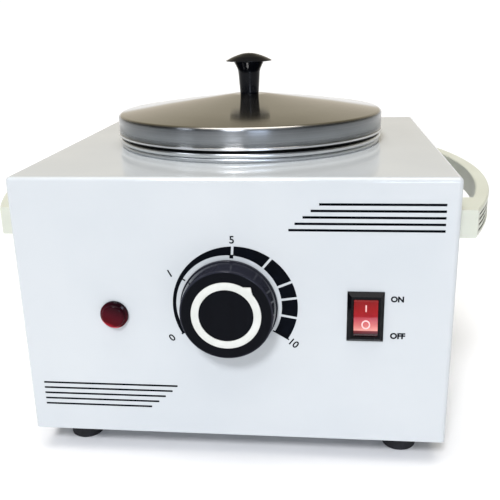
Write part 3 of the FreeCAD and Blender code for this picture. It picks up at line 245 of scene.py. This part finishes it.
def finish_piece(name, bm, material, body):
    """The finished piece as an object that rides on a CAD body."""
    mesh = bpy.data.meshes.new(name)
    bm.to_mesh(mesh)
    bm.free()
    mesh.materials.append(material)
    mesh.shade_smooth()
    mesh.set_sharp_from_angle(angle=math.radians(sharp_angle))
    piece = bpy.data.objects.new(name, mesh)
    bpy.context.scene.collection.objects.link(piece)
    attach(piece, body)
    return piece


def print_on(name, bm, under, material, body, film):
    """Lays a flat drawing in X and Z, in mm, on a surface behind it, as a film of ink."""
    bmesh.ops.scale(bm, vec=(0.001, 0.001, 0.001), verts=bm.verts)
    bmesh.ops.recalc_face_normals(bm, faces=bm.faces)
    if sum(face.normal.y * face.calc_area() for face in bm.faces) > 0:
        bmesh.ops.reverse_faces(bm, faces=bm.faces)
    for vert in bm.verts:
        vert.co = under.ray_cast(Vector((vert.co.x, before_case, vert.co.z)), Vector((0, 1, 0)))[0]
    grown = bmesh.ops.extrude_face_region(bm, geom=bm.faces[:])
    fresh = [item for item in grown["geom"] if isinstance(item, bmesh.types.BMVert)]
    bmesh.ops.translate(bm, vec=(0, -film / 1000, 0), verts=fresh)
    bmesh.ops.recalc_face_normals(bm, faces=bm.faces)
    finish_piece(name, bm, material, body)


case_surface = surface_of("housing_shell")


def print_on_case(name, bm, film=ink_film):
    """Prints a drawing whose heights are measured from the case's lower edge."""
    bmesh.ops.translate(bm, vec=(0, 0, case_low), verts=bm.verts)
    print_on(name, bm, case_surface, screen_ink, "housing", film)


# The dial is a crescent between two circles whose centres differ, split by white gaps. A circle is
# its centre's X and height, and its radius.
dial_centre = (-0.5, 58.2)
crescent_outer = (1.7, 58.0, 24.7)
crescent_inner = (-0.7, 58.2, 20.9)
crescent_start = 212.7
crescent_end = -31.0
crescent_spare = 12
gap_angles = (85.5, 49.9, 23.0, 8.1, -10.0)
gap_width = 0.95


def front_point(angle, radius, centre=dial_centre):
    """A point of the front at that angle from +X and that many mm from the dial's centre."""
    turn = math.radians(angle)
    return Vector((centre[0] + radius * math.cos(turn), 0, centre[1] + radius * math.sin(turn)))


def crescent_band(bm):
    """Two arcs, each spun about its own centre, and bridged."""
    loops = []
    for x, z, radius in (crescent_inner, crescent_outer):
        start = bm.verts.new(front_point(crescent_start + crescent_spare, radius, (x, z)))
        bmesh.ops.spin(bm, geom=[start], cent=Vector((x, 0, z)), axis=(0, 1, 0), steps=120,
                       angle=math.radians(crescent_start - crescent_end + 2 * crescent_spare))
        loops += [edge for edge in bm.edges if edge not in loops]
    bmesh.ops.bridge_loops(bm, edges=loops)


def trim(bm, angle, side, shift=0.0):
    """Cuts away what lies past a ray from the dial's centre, on the side named."""
    turn = math.radians(angle)
    across = Vector((-math.sin(turn), 0, math.cos(turn))) * side
    point = Vector((dial_centre[0], 0, dial_centre[1])) - across * shift
    bmesh.ops.bisect_plane(bm, geom=bm.verts[:] + bm.edges[:] + bm.faces[:], dist=1e-6,
                           plane_co=point, plane_no=across, clear_outer=True)


def bar(bm, start, end, width):
    """A flat bar between two points of a drawing."""
    along = (end - start).normalized()
    across = Vector((along.z, 0, -along.x)) * width / 2
    bm.faces.new([bm.verts.new(p) for p in (start - across, end - across, end + across, start + across)])


dial_cuts = [crescent_start, *gap_angles, crescent_end]
for number, (first, last) in enumerate(zip(dial_cuts, dial_cuts[1:])):
    segment = bmesh.new()
    crescent_band(segment)
    trim(segment, first, 1, 0 if number == 0 else gap_width / 2)
    trim(segment, last, -1, 0 if number == len(gap_angles) else gap_width / 2)
    print_on_case(f"dial_segment_{number}", segment)

# Ticks of the dial: a square one at the top, one at the first number, and one at each end.
dial_ticks = bmesh.new()
for angle, inner, outer, width in ((86.0, 19.7, 21.2, 1.5), (149.0, 19.9, 22.0, 0.6),
                                   (-147.3, 20.9, 23.2, 0.7), (-30.8, 19.9, 27.3, 0.6)):
    bar(dial_ticks, front_point(angle, inner), front_point(angle, outer), width)
print_on_case("dial_ticks", dial_ticks, ink_film / 2)


def lettering(words, height, centre, turn, weight):
    """Plain capitals or figures as a flat drawing, that many mm high and turned clockwise."""
    text = bpy.data.curves.new("lettering", "FONT")
    text.body = words
    text.resolution_u = 6
    text.offset = weight
    holder = bpy.data.objects.new("lettering", text)
    flat = bpy.data.meshes.new_from_object(holder)
    drawing = bmesh.new()
    drawing.from_mesh(flat)
    bpy.data.objects.remove(holder)
    bpy.data.curves.remove(text)
    bpy.data.meshes.remove(flat)
    bmesh.ops.remove_doubles(drawing, verts=drawing.verts, dist=1e-5)
    low = Vector((min(v.co.x for v in drawing.verts), min(v.co.y for v in drawing.verts), 0))
    high = Vector((max(v.co.x for v in drawing.verts), max(v.co.y for v in drawing.verts), 0))
    bmesh.ops.translate(drawing, vec=-(low + high) / 2, verts=drawing.verts)
    bmesh.ops.scale(drawing, vec=Vector((1, 1, 1)) * height / (high.y - low.y), verts=drawing.verts)
    upright = Matrix.Rotation(math.radians(turn), 4, "Y") @ Matrix.Rotation(math.radians(90), 4, "X")
    bmesh.ops.transform(drawing, matrix=upright, verts=drawing.verts)
    bmesh.ops.translate(drawing, vec=(centre.x, 0, centre.z), verts=drawing.verts)
    return drawing


number_height = 3.1
for words, angle, radius, turn in (("0", -148.8, 27.6, -38), ("1", 150.3, 26.6, -28), ("5", 86.4, 27.2, 0),
                                   ("10", -31.5, 29.9, 38)):
    figures = lettering(words, number_height, front_point(angle, radius), turn, weight=0.02)
    print_on_case(f"dial_number_{words}", figures)

for words, height, x, level in (("ON", 2.5, 64.3, 62.2), ("OFF", 2.6, 65.0, 46.9)):
    capitals = lettering(words, height, Vector((x, 0, level)), turn=0, weight=0.048)
    print_on_case(f"switch_word_{words.lower()}", capitals)

# Two groups of five stripes, one at the upper right and one at the lower left. Each stripe is its left
# end, its right end and its height.
upper_stripes = ((34.2, 80.5, 99.4), (31.1, 80.5, 96.9), (28.1, 80.5, 94.4), (25.1, 80.5, 91.9),
                 (22.8, 80.5, 89.4))
lower_stripes = ((-80.1, -23.1, 21.9), (-80.1, -25.3, 19.5), (-80.1, -28.3, 17.0), (-80.1, -31.2, 14.5),
                 (-80.1, -34.4, 12.0))
for group, thickness, stripes in (("upper", 0.95, upper_stripes), ("lower", 0.8, lower_stripes)):
    drawing = bmesh.new()
    for left, right, level in stripes:
        bar(drawing, Vector((left, 0, level)), Vector((right, 0, level)), thickness)
    print_on_case(f"stripes_{group}", drawing)


# ---------------------------------------------------------------- Base plate, heat shield and straps
# Cut from hot-dip galvanised sheet. The zinc freezes in flat crystals, each a slightly different grey
# with its own dull shine. They are some 7 mm across on plate, and smaller on narrow strip.
def zinc_sheet(name, light, dark, crystal):
    """Galvanised sheet whose zinc crystals are that many mm across."""
    material, tree, shader, place = start_finish(name)
    grain = 0.8
    crystals = add_node(tree, "TexVoronoi", {"Scale": 1000 / crystal}, {"Vector": place})
    shade = add_node(tree, "SeparateColor", links={0: crystals.outputs["Color"]})
    grains = add_node(tree, "TexNoise", {"Scale": 1000 / grain, "Detail": 3.0}, {"Vector": place})
    colour = add_node(tree, "ValToRGB", {"stops": [(0.0, dark), (1.0, light)]}, {0: shade.outputs[0]})
    gloss = add_node(tree, "MapRange", {3: 0.28, 4: 0.46}, {0: shade.outputs[1]})
    finish_with(tree, shader, colour.outputs[0], gloss.outputs[0], grains.outputs["Fac"], depth=0.003,
                Metallic=1.0)
    return material


dress(zinc_sheet("galvanised_sheet", "B7B9BA", "94979A", crystal=7), "base_plate", "heat_shield")
dress(zinc_sheet("galvanised_strip", "B4B6B7", "9A9C9E", crystal=3), "cutout_strap", "bulb_clip",
      "pilot_clip")


# ---------------------------------------------------------------- Screws, nuts, washers and spacers
# Cold-headed and turned steel, zinc plated and clear passivated: bright, with a faint blue and
# yellow bloom that drifts over each head.
bright_zinc = mottled_finish("bright_zinc_plate", "C9CACD", "B3AFA4", patch=3, grain=0.4, depth=0.002,
                             roughness=0.27, Metallic=1.0)
dress(bright_zinc, "case_screws", "foot_screws", "foot_nuts", "heater_clamp_screw", "heater_clamp_nut",
      "shield_spacers", "shield_screws", "shield_nuts", "well_bolt", "strap_nut", "thermostat_screws",
      "handle_screws", "handle_washers", "lid_knob_washer", "lid_knob_screw", "block_screw")


# ---------------------------------------------------------------- Feet
# Cups of black rubber, moulded under pressure: dead matt, with a fine pebbled skin and a greyer
# bloom of dust in patches.
dress(mottled_finish("moulded_rubber", "26262A", "18181B", patch=5, grain=0.6, depth=0.02, roughness=0.7,
                     Specular_IOR_Level=0.3),
      "foot_front_left", "foot_front_right", "foot_rear_left", "foot_rear_right")


# ---------------------------------------------------------------- Side handles
# Ivory ABS, injection moulded, with a satin skin. The outer face has three rows of raised pads, and
# the grooves between them are painted dark grey as painted shade.
def painted_groove_shade_mask(tree, place, arc_radius, arc_centre, recess, half_length, low, high):
    """1 in the grooves between the pads, where shade is painted. Sizes are in mm, and the arc is the
    handle's outer face.
    """
    side = add_node(tree, "SeparateXYZ", links={0: place})
    outward = add_node(tree, "Math", {"operation": "ABSOLUTE"}, {0: side.outputs["X"]})
    outward = add_node(tree, "Math", {"operation": "SUBTRACT", 1: arc_centre / 1000},
                       {0: outward.outputs[0]})
    reach = add_node(tree, "CombineXYZ", links={0: outward.outputs[0], 1: side.outputs["Y"]})
    reach = add_node(tree, "VectorMath", {"operation": "LENGTH"}, {0: reach.outputs[0]})
    along = add_node(tree, "Math", {"operation": "ABSOLUTE"}, {0: side.outputs["Y"]})

    # Each row is a distance, where the grooves' shade is gone, and where it is full.
    groove_floor = arc_radius - recess
    edge = 0.02
    limits = ((reach.outputs["Value"], groove_floor - 0.12, groove_floor - 0.08),
              (reach.outputs["Value"], arc_radius - 0.2, arc_radius - 0.45),
              (side.outputs["Z"], low, low + edge),
              (side.outputs["Z"], high, high - edge),
              (along.outputs[0], half_length, half_length - edge))
    masks = [add_node(tree, "MapRange", {1: gone / 1000, 2: full / 1000}, {0: distance}).outputs[0]
             for distance, gone, full in limits]
    mask = masks[0]
    for other in masks[1:]:
        mask = add_node(tree, "Math", {"operation": "MULTIPLY"}, {0: mask, 1: other}).outputs[0]
    return mask


handle_patch = 18
handle_grain = 0.7
ivory_abs, tree, shader, place = start_finish("ivory_abs")
patches = add_node(tree, "TexNoise", {"Scale": 1000 / handle_patch, "Detail": 3.0}, {"Vector": place})
grains = add_node(tree, "TexNoise", {"Scale": 1000 / handle_grain, "Detail": 2.0}, {"Vector": place})
skin = add_node(tree, "ValToRGB", {"stops": [(0.3, "BABCAE"), (0.7, "C1C3B6")]}, {0: patches.outputs["Fac"]})
groove_shade = painted_groove_shade_mask(tree, place, arc_radius=183.43, arc_centre=-74.43, recess=0.9, half_length=70.9,
                      low=96.7, high=104.3)
# Painted shade: the grooves are mixed to dark grey.
ivory_with_painted_shade = add_node(tree, "Mix", {"data_type": "RGBA", 7: linear("2C2C28")}, {0: groove_shade, 6: skin.outputs[0]})
gloss = add_node(tree, "MapRange", {1: 0.3, 2: 0.7, 3: 0.34, 4: 0.44}, {0: patches.outputs["Fac"]})
finish_with(tree, shader, ivory_with_painted_shade.outputs[2], gloss.outputs[0], grains.outputs["Fac"], depth=0.006)
dress(ivory_abs, "handle_right", "handle_left")


# ---------------------------------------------------------------- Rocker switch
# A snap-in body of black nylon with a bevelled bezel, and a rocker of red polycarbonate. The
# rocker is a thin shell with a line and a ring printed on. Its red is painted by height: darker above,
# a paler painted sheen on the lower half where it stands out, and painted shade at its foot.
dress(mottled_finish("switch_nylon", "0A0A0E", "050507", patch=6, grain=0.5, depth=0.003, roughness=0.13,
                     Specular_IOR_Level=0.1), "switch_body")

rocker_top = 0.0738
rocker_foot = 0.0603
rocker_patch = 4
red_polycarbonate, tree, shader, place = start_finish("red_polycarbonate")
height = add_node(tree, "SeparateXYZ", links={0: place})
height = add_node(tree, "MapRange", {1: rocker_top, 2: rocker_foot}, {0: height.outputs["Z"]})
# Painted light and shade by height: darker above, a pale painted sheen low down, dark shade at the foot.
red_with_painted_light = add_node(tree, "ValToRGB", {"stops": [(0.0, "781012"), (0.35, "901418"), (0.5, "96161F"),
                                                 (0.6, "B03A42"), (0.76, "C4645E"), (0.89, "D88E82"),
                                                 (0.91, "6A1214"), (1.0, "300406")]},
                    {0: height.outputs[0]})
patches = add_node(tree, "TexNoise", {"Scale": 1000 / rocker_patch, "Detail": 3.0}, {"Vector": place})
tint = add_node(tree, "ValToRGB", {"stops": [(0.3, "E4E4E4"), (0.7, "FFFFFF")]}, {0: patches.outputs["Fac"]})
red_with_painted_light = add_node(tree, "Mix", {"data_type": "RGBA", "blend_type": "MULTIPLY", 0: 1.0},
                    {6: red_with_painted_light.outputs[0], 7: tint.outputs[0]})
gloss = add_node(tree, "MapRange", {1: 0.3, 2: 0.7, 3: 0.14, 4: 0.22}, {0: patches.outputs["Fac"]})
finish_with(tree, shader, red_with_painted_light.outputs[2], gloss.outputs[0], patches.outputs["Fac"], depth=0.01,
            Specular_IOR_Level=0.15)
dress(red_polycarbonate, "switch_rocker")

pad_ink = mottled_finish("pale_pad_ink", "EBBDBA", "DFA9A6", patch=3, grain=0.4, depth=0.002,
                         roughness=0.4)
pad_film = 0.03
marks_x = 52.45
line_low = 68.9
line_high = 71.6
line_width = 0.5
circle_height = 63.9
circle_radii = (1.2, 1.65)
rocker_surface = surface_of("switch_rocker")
rocker_line = bmesh.new()
bar(rocker_line, Vector((marks_x, 0, line_low)), Vector((marks_x, 0, line_high)), line_width)
print_on("rocker_line", rocker_line, rocker_surface, pad_ink, "rocker", pad_film)
rocker_ring = bmesh.new()
for radius in circle_radii:
    start = rocker_ring.verts.new(Vector((marks_x + radius, 0, circle_height)))
    bmesh.ops.spin(rocker_ring, geom=[start], cent=Vector((marks_x, 0, circle_height)), axis=(0, 1, 0),
                   steps=40, angle=math.radians(360), use_merge=True)
bmesh.ops.bridge_loops(rocker_ring, edges=rocker_ring.edges[:])
print_on("rocker_ring", rocker_ring, rocker_surface, pad_ink, "rocker", pad_film)


# ---------------------------------------------------------------- Pilot lamp
# A capped lens of dark red acrylic with a glossy skin. Its red is painted clearer and lighter towards
# its lower left rim, as painted light gathered there. Behind it sit a tube of natural nylon and a
# push-on steel ring.
lens_radius = 0.0057
lens_patch = 2.5
lower_left = (-0.4, 0, -0.917)
lens_low, lens_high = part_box("pilot_lens")
lens_middle = (lens_low + lens_high) / 2
red_acrylic, tree, shader, place = start_finish("red_acrylic")
from_middle = add_node(tree, "VectorMath", {"operation": "SUBTRACT", 1: lens_middle}, {0: place})
toward_rim = add_node(tree, "VectorMath", {"operation": "DOT_PRODUCT", 1: lower_left},
                      {0: from_middle.outputs[0]})
toward_rim = add_node(tree, "MapRange", {1: -lens_radius, 2: lens_radius}, {0: toward_rim.outputs["Value"]})
# Painted light: the red grows clearer and brighter towards the lower left rim.
painted_rim_light = add_node(tree, "ValToRGB", {"stops": [(0.0, "10050A"), (0.18, "24070E"), (0.5, "400A15"),
                                             (0.76, "46040C"), (0.86, "8C1220"), (0.93, "D4606C"),
                                             (1.0, "7A2630")]}, {0: toward_rim.outputs[0]})
patches = add_node(tree, "TexNoise", {"Scale": 1000 / lens_patch, "Detail": 3.0}, {"Vector": place})
gloss = add_node(tree, "MapRange", {1: 0.3, 2: 0.7, 3: 0.06, 4: 0.12}, {0: patches.outputs["Fac"]})
finish_with(tree, shader, painted_rim_light.outputs[0], gloss.outputs[0], patches.outputs["Fac"], depth=0.015,
            Specular_IOR_Level=0.06)
dress(red_acrylic, "pilot_lens")
dress(mottled_finish("natural_nylon", "D3CDBB", "C4BDA9", patch=8, grain=0.7, depth=0.004, roughness=0.45),
      "pilot_body")


# ---------------------------------------------------------------- Thermostat
# A drum of dark phenolic with a bright turned shaft, brass tabs, and a copper capillary that ends
# in a copper bulb. The cut-out is of the same phenolic, and all tabs and clamps are of that brass.
dress(mottled_finish("brown_phenolic", "2E2520", "1F1814", patch=7, grain=0.5, depth=0.004, roughness=0.4,
                     Specular_IOR_Level=0.4), "thermostat_body", "thermal_cutout")
dress(bright_zinc, "thermostat_shaft")
dress(mottled_finish("rolled_brass", "D2B46A", "B8964C", patch=4, grain=0.3, depth=0.002, roughness=0.25,
                     Metallic=1.0), "thermostat_tabs", "switch_tabs", "heater_terminals", "block_clamps")
dress(mottled_finish("drawn_copper", "CC7F5E", "9E5B40", patch=9, grain=0.4, depth=0.002, roughness=0.28,
                     Metallic=1.0), "sensor_bulb", "capillary")


# ---------------------------------------------------------------- Thermostat knob
# Black phenolic, compression moulded. The wall and the rim are polished and have hairline marks; they
# are painted dark grey as a painted reflection. The face is finely grained. A white ring with a fin is
# pressed into its groove.
def moulded_black(name, mark, smoothest, roughest, specular, face_roughness, painted_sheen):
    """Black phenolic with hairline marks of that length in mm, and its range of roughness. What faces
    the front squarely is black and grained, and adds a roughness of its own. The rest is painted in
    the sheen colour, as a painted reflection."""
    material, tree, shader, place = start_finish(name)
    stretched = add_node(tree, "Mapping", {"Scale": (1, 1, 0.15), "Rotation": (0, 0.7, 0)}, {0: place})
    marks = add_node(tree, "TexNoise", {"Scale": 1000 / mark, "Detail": 5.0},
                     {"Vector": stretched.outputs[0]})
    black = add_node(tree, "ValToRGB", {"stops": [(0.35, "030409"), (0.75, "06080D")]},
                     {0: marks.outputs["Fac"]})
    gloss = add_node(tree, "MapRange", {1: 0.35, 2: 0.7, 3: smoothest, 4: roughest},
                     {0: marks.outputs["Fac"]})
    facing = add_node(tree, "NewGeometry").outputs["Normal"]
    facing = add_node(tree, "SeparateXYZ", links={0: facing})
    face = add_node(tree, "MapRange", {1: -0.96, 2: -0.995}, {0: facing.outputs["Y"]})
    # All but the face is painted in the sheen colour, a painted reflection.
    colour = add_node(tree, "Mix", {"data_type": "RGBA", 6: linear(painted_sheen)},
                      {0: face.outputs[0], 7: black.outputs[0]})
    grained = add_node(tree, "Math", {"operation": "MULTIPLY_ADD", 1: face_roughness},
                       {0: face.outputs[0], 2: gloss.outputs[0]})
    finish_with(tree, shader, colour.outputs[2], grained.outputs[0], marks.outputs["Fac"], depth=0.002,
                Specular_IOR_Level=specular)
    return material


dress(moulded_black("polished_phenolic", mark=3, smoothest=0.07, roughest=0.13, specular=0.07,
                    face_roughness=0.5, painted_sheen="22232B"), "thermostat_knob")

shaft_low, shaft_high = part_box("thermostat_shaft")
ring_centre = Vector((shaft_low.x + shaft_high.x, 0, shaft_low.z + shaft_high.z)) * 500
ring_front, ring_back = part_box("knob_pointer_ring")
ring_inner = 10.55
ring_outer = 13.5
ring_bevel = 0.12
fin_tip = 15.1
fin_angle = 50.0
fin_spread = 11.0
pointer_ring = bmesh.new()
for radius in (ring_inner, ring_outer):
    start = pointer_ring.verts.new(ring_centre + Vector((radius, 0, 0)))
    bmesh.ops.spin(pointer_ring, geom=[start], cent=ring_centre, axis=(0, 1, 0), steps=144,
                   angle=math.radians(360), use_merge=True)
bmesh.ops.bridge_loops(pointer_ring, edges=pointer_ring.edges[:])

# The fin: the outer edge is drawn out to a point with hollow flanks.
for vert in pointer_ring.verts:
    arm = vert.co - ring_centre
    turned = abs(math.degrees(math.atan2(arm.z, arm.x)) - fin_angle)
    if arm.length > (ring_inner + ring_outer) / 2 and turned < fin_spread:
        vert.co = ring_centre + arm * (1 + (fin_tip / ring_outer - 1) * (1 - turned / fin_spread) ** 1.5)
bmesh.ops.scale(pointer_ring, vec=(0.001, 0.001, 0.001), verts=pointer_ring.verts)
bmesh.ops.translate(pointer_ring, vec=(0, ring_back.y, 0), verts=pointer_ring.verts)
grown = bmesh.ops.extrude_face_region(pointer_ring, geom=pointer_ring.faces[:])
front_verts = [item for item in grown["geom"] if isinstance(item, bmesh.types.BMVert)]
bmesh.ops.translate(pointer_ring, vec=(0, ring_front.y - ring_back.y, 0), verts=front_verts)
bmesh.ops.recalc_face_normals(pointer_ring, faces=pointer_ring.faces)
rim_edges = [edge for edge in pointer_ring.edges if len(edge.link_faces) == 2
             and all(vert in front_verts for vert in edge.verts)
             and abs(edge.link_faces[0].normal.y) + abs(edge.link_faces[1].normal.y) < 1.5]
bmesh.ops.bevel(pointer_ring, geom=rim_edges, offset=ring_bevel / 1000, segments=2, profile=0.5,
                affect="EDGES", material=-1)
white_urea = mottled_finish("white_urea_inlay", "C8C8C2", "BEBFB8", patch=5, grain=0.5, depth=0.003,
                            roughness=0.35)
ring_piece = finish_piece("pointer_ring", pointer_ring, white_urea, "knob")
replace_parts(ring_piece, "knob_pointer_ring")


# ---------------------------------------------------------------- Well and pot
# Deep-drawn aluminium sheet, spun to its rim on a lathe. The tool leaves fine rings round the axis,
# which stretch every highlight across them.
pot_low, pot_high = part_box("wax_pot")
pot_axis_y = (pot_low.y + pot_high.y) / 2


def spun_metal(name, light, dark, line, depth, roughness, top_roughness, anisotropic, side_light=None):
    """Sheet metal finished on a lathe about the pot's upright axis, with rings of that width in mm.
    What faces up has a roughness of its own. Upright faces may be painted by height with painted shade
    and reflection: the heights between which that runs, in m, and its stops."""
    material, tree, shader, place = start_finish(name)
    patch = 25
    about = add_node(tree, "VectorMath", {"operation": "SUBTRACT", 1: (0, pot_axis_y, 0)}, {0: place})
    level = add_node(tree, "SeparateXYZ", links={0: about.outputs[0]})
    flat = add_node(tree, "CombineXYZ", links={0: level.outputs["X"], 1: level.outputs["Y"]})
    radius = add_node(tree, "VectorMath", {"operation": "LENGTH"}, {0: flat.outputs[0]})
    across = add_node(tree, "CombineXYZ", links={0: radius.outputs["Value"], 2: level.outputs["Z"]})
    rings = add_node(tree, "TexNoise", {"Scale": 1000 / line, "Detail": 3.0}, {"Vector": across.outputs[0]})
    patches = add_node(tree, "TexNoise", {"Scale": 1000 / patch, "Detail": 3.0}, {"Vector": place})
    mixed = add_node(tree, "Mix", {"data_type": "FLOAT", 0: 0.5},
                     {2: rings.outputs["Fac"], 3: patches.outputs["Fac"]})
    colour = add_node(tree, "ValToRGB", {"stops": [(0.35, dark), (0.65, light)]}, {0: mixed.outputs[0]})
    colour = colour.outputs[0]
    facing = add_node(tree, "NewGeometry").outputs["Normal"]
    upward = add_node(tree, "SeparateXYZ", links={0: facing})
    if side_light:
        low, high, stops = side_light
        # Painted shade and reflection on upright faces, by height.
        height = add_node(tree, "MapRange", {1: low, 2: high}, {0: level.outputs["Z"]})
        painted_side_light = add_node(tree, "ValToRGB", {"stops": stops}, {0: height.outputs[0]})
        streaks = add_node(tree, "ValToRGB", {"stops": [(0.35, "E2E2E2"), (0.65, "FFFFFF")]},
                           {0: mixed.outputs[0]})
        painted_side_light = add_node(tree, "Mix", {"data_type": "RGBA", "blend_type": "MULTIPLY", 0: 1.0},
                           {6: painted_side_light.outputs[0], 7: streaks.outputs[0]})
        standing = add_node(tree, "MapRange", {1: 0.8, 2: 0.5}, {0: upward.outputs["Z"]})
        colour = add_node(tree, "Mix", {"data_type": "RGBA"},
                          {0: standing.outputs[0], 6: colour, 7: painted_side_light.outputs[2]}).outputs[2]
    by_slope = add_node(tree, "MapRange", {1: 0.6, 2: 0.95, 3: roughness, 4: top_roughness},
                        {0: upward.outputs["Z"]})
    by_ring = add_node(tree, "MapRange", {1: 0.3, 2: 0.7, 3: -0.02, 4: 0.02}, {0: rings.outputs["Fac"]})
    gloss = add_node(tree, "Math", {"operation": "ADD"}, {0: by_slope.outputs[0], 1: by_ring.outputs[0]})
    round_way = add_node(tree, "VectorMath", {"operation": "CROSS_PRODUCT", 0: (0, 0, 1)},
                         {1: flat.outputs[0]})
    stretch = add_node(tree, "VectorMath", {"operation": "CROSS_PRODUCT"},
                       {0: facing, 1: round_way.outputs[0]})
    stretch = add_node(tree, "VectorMath", {"operation": "NORMALIZE"}, {0: stretch.outputs[0]})
    tree.links.new(stretch.outputs[0], shader.inputs["Tangent"])
    finish_with(tree, shader, colour, gloss.outputs[0], rings.outputs["Fac"], depth, Metallic=1.0,
                Anisotropic=anisotropic)
    return material


def turn_again(name, node, material, body):
    """Spins a round CAD node's section once more, in even rings, so that its rims shine cleanly."""
    low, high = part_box(node)
    middle = (low + high) / 2
    section = bmesh.new()
    section.from_mesh(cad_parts[node].data)
    bmesh.ops.remove_doubles(section, verts=section.verts, dist=1e-7)
    for across, both_sides in (((0, 1, 0), True), ((1, 0, 0), False)):
        everything = section.verts[:] + section.edges[:] + section.faces[:]
        bmesh.ops.bisect_plane(section, geom=everything, dist=1e-7, plane_co=middle, plane_no=across,
                               clear_inner=True, clear_outer=both_sides)
    bmesh.ops.remove_doubles(section, verts=section.verts, dist=2e-6)
    bmesh.ops.dissolve_limit(section, angle_limit=math.radians(0.5), verts=section.verts,
                             edges=section.edges)
    bmesh.ops.spin(section, geom=section.verts[:] + section.edges[:], cent=middle, axis=(0, 0, 1),
                   steps=192, angle=math.radians(360), use_merge=True)
    bmesh.ops.remove_doubles(section, verts=section.verts, dist=2e-5)
    bmesh.ops.recalc_face_normals(section, faces=section.faces)
    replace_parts(finish_piece(name, section, material, body), node)


spun_aluminium = spun_metal("spun_aluminium", "DADCDC", "C0C3C5", line=0.5, depth=0.002, roughness=0.3,
                            top_roughness=0.24, anisotropic=0.6)
drawn_aluminium = spun_metal("drawn_aluminium", "CFD1D1", "B4B7B9", line=0.9, depth=0.003, roughness=0.36,
                             top_roughness=0.3, anisotropic=0.5)
turn_again("turned_pot", "wax_pot", spun_aluminium, "pot")
turn_again("turned_well", "heating_well", drawn_aluminium, "housing")


# ---------------------------------------------------------------- Heater and insulation
# A band of mica clad in thin steel, tinted straw and brown by its own heat, and a jacket of needled
# glass fibre, a soft off-white felt of tangled threads.
dress(mottled_finish("heat_tinted_steel", "B9A98B", "8C7A63", patch=14, grain=0.5, depth=0.003,
                     roughness=0.34, Metallic=0.8), "band_heater")
felt_clump = 9
felt_thread = 1.2
glass_felt, tree, shader, place = start_finish("needled_glass_felt")
clumps = add_node(tree, "TexNoise", {"Scale": 1000 / felt_clump, "Detail": 4.0}, {"Vector": place})
threads = add_node(tree, "TexNoise", {"Scale": 1000 / felt_thread, "Detail": 5.0, "Distortion": 2.5},
                   {"Vector": place})
felt = add_node(tree, "Mix", {"data_type": "FLOAT", 0: 0.6},
                {2: clumps.outputs["Fac"], 3: threads.outputs["Fac"]})
felt_colour = add_node(tree, "ValToRGB", {"stops": [(0.35, "CDC6B4"), (0.65, "EAE6DA")]},
                       {0: felt.outputs[0]})
felt_gloss = add_node(tree, "MapRange", {3: 0.88, 4: 1.0}, {0: threads.outputs["Fac"]})
finish_with(tree, shader, felt_colour.outputs[0], felt_gloss.outputs[0], threads.outputs["Fac"], depth=0.3)
dress(glass_felt, "insulation_jacket")


# ---------------------------------------------------------------- Lid
# Stainless steel, spun over a former: the shallow cone is polished almost to a mirror, and the
# skirt is brushed round. A ring of the same steel seats it in the pot.
# The skirt's colour is painted by height: a painted shadow line at the hem's foot, a painted highlight just
# above it, and painted darker reflection up towards the shoulder.
skirt_low = 0.1254
skirt_high = 0.1330
skirt_painted_light_stops = ((0.0, "141415"), (0.03, "1C1D1E"), (0.06, "ECEEF0"), (0.16, "CED1D4"), (0.3, "ACAFB2"),
               (0.6, "96999C"), (0.85, "86898C"), (1.0, "787B7E"))
polished_steel = spun_metal("spun_stainless_steel", "B3B0AB", "A6A39E", line=0.45, depth=0.0015,
                            roughness=0.29, top_roughness=0.11, anisotropic=0.95,
                            side_light=(skirt_low, skirt_high, skirt_painted_light_stops))
turn_again("turned_lid", "lid_shell", polished_steel, "lid")
dress(polished_steel, "lid_locating_ring")


# ---------------------------------------------------------------- Lid knob
# A mushroom of black phenolic, moulded and a little less polished than the thermostat's knob. It is
# held from below by a screw and a washer.
# Its painted sheen colour is almost black.
dress(moulded_black("lid_knob_phenolic", mark=2.2, smoothest=0.11, roughest=0.2, specular=0.12,
                    face_roughness=0, painted_sheen="05060B"), "lid_knob")


# ---------------------------------------------------------------- Cord entry
# A gland and a nut of black nylon in the back of the case, moulded, with a waxy low gloss. No cord is
# fitted.
dress(mottled_finish("moulded_nylon", "1E1E21", "151517", patch=6, grain=0.5, depth=0.006, roughness=0.45),
      "cord_gland", "gland_nut")


# ---------------------------------------------------------------- Wiring
# A terminal block of glazed steatite, and leads sleeved in braided glass fibre, whose crossed
# threads show as a fine diamond weave.
dress(mottled_finish("glazed_steatite", "F1EFE8", "E2DFD5", patch=5, grain=0.8, depth=0.006, roughness=0.2),
      "terminal_block")

# The braid is drawn coarser than it is: its threads come 2.8 mm apart. At a scale of 1 Blender's wave
# repeats every 314.16 mm.
wave_repeat = 314.16
thread_pitch = 2.762
thread_lean = 0.8
glass_braid, tree, shader, place = start_finish("braided_glass_sleeve")
weave = []
for lean in (thread_lean, -thread_lean):
    leaned = add_node(tree, "Mapping", {"Rotation": (lean, lean / 2, lean)}, {0: place})
    weave.append(add_node(tree, "TexWave", {"Scale": wave_repeat / thread_pitch, "Distortion": 0.4},
                          {0: leaned.outputs[0]}))
threads = add_node(tree, "Math", {"operation": "MAXIMUM"},
                   {0: weave[0].outputs["Fac"], 1: weave[1].outputs["Fac"]})
braid = add_node(tree, "ValToRGB", {"stops": [(0.2, "BDB49C"), (0.9, "EFEADB")]}, {0: threads.outputs[0]})
braid_gloss = add_node(tree, "MapRange", {3: 0.85, 4: 0.65}, {0: threads.outputs[0]})
finish_with(tree, shader, braid.outputs[0], braid_gloss.outputs[0], threads.outputs[0], depth=0.12)
dress(glass_braid, "lead_live", "lead_switched", "lead_heater", "lead_neutral", "lamp_leads")
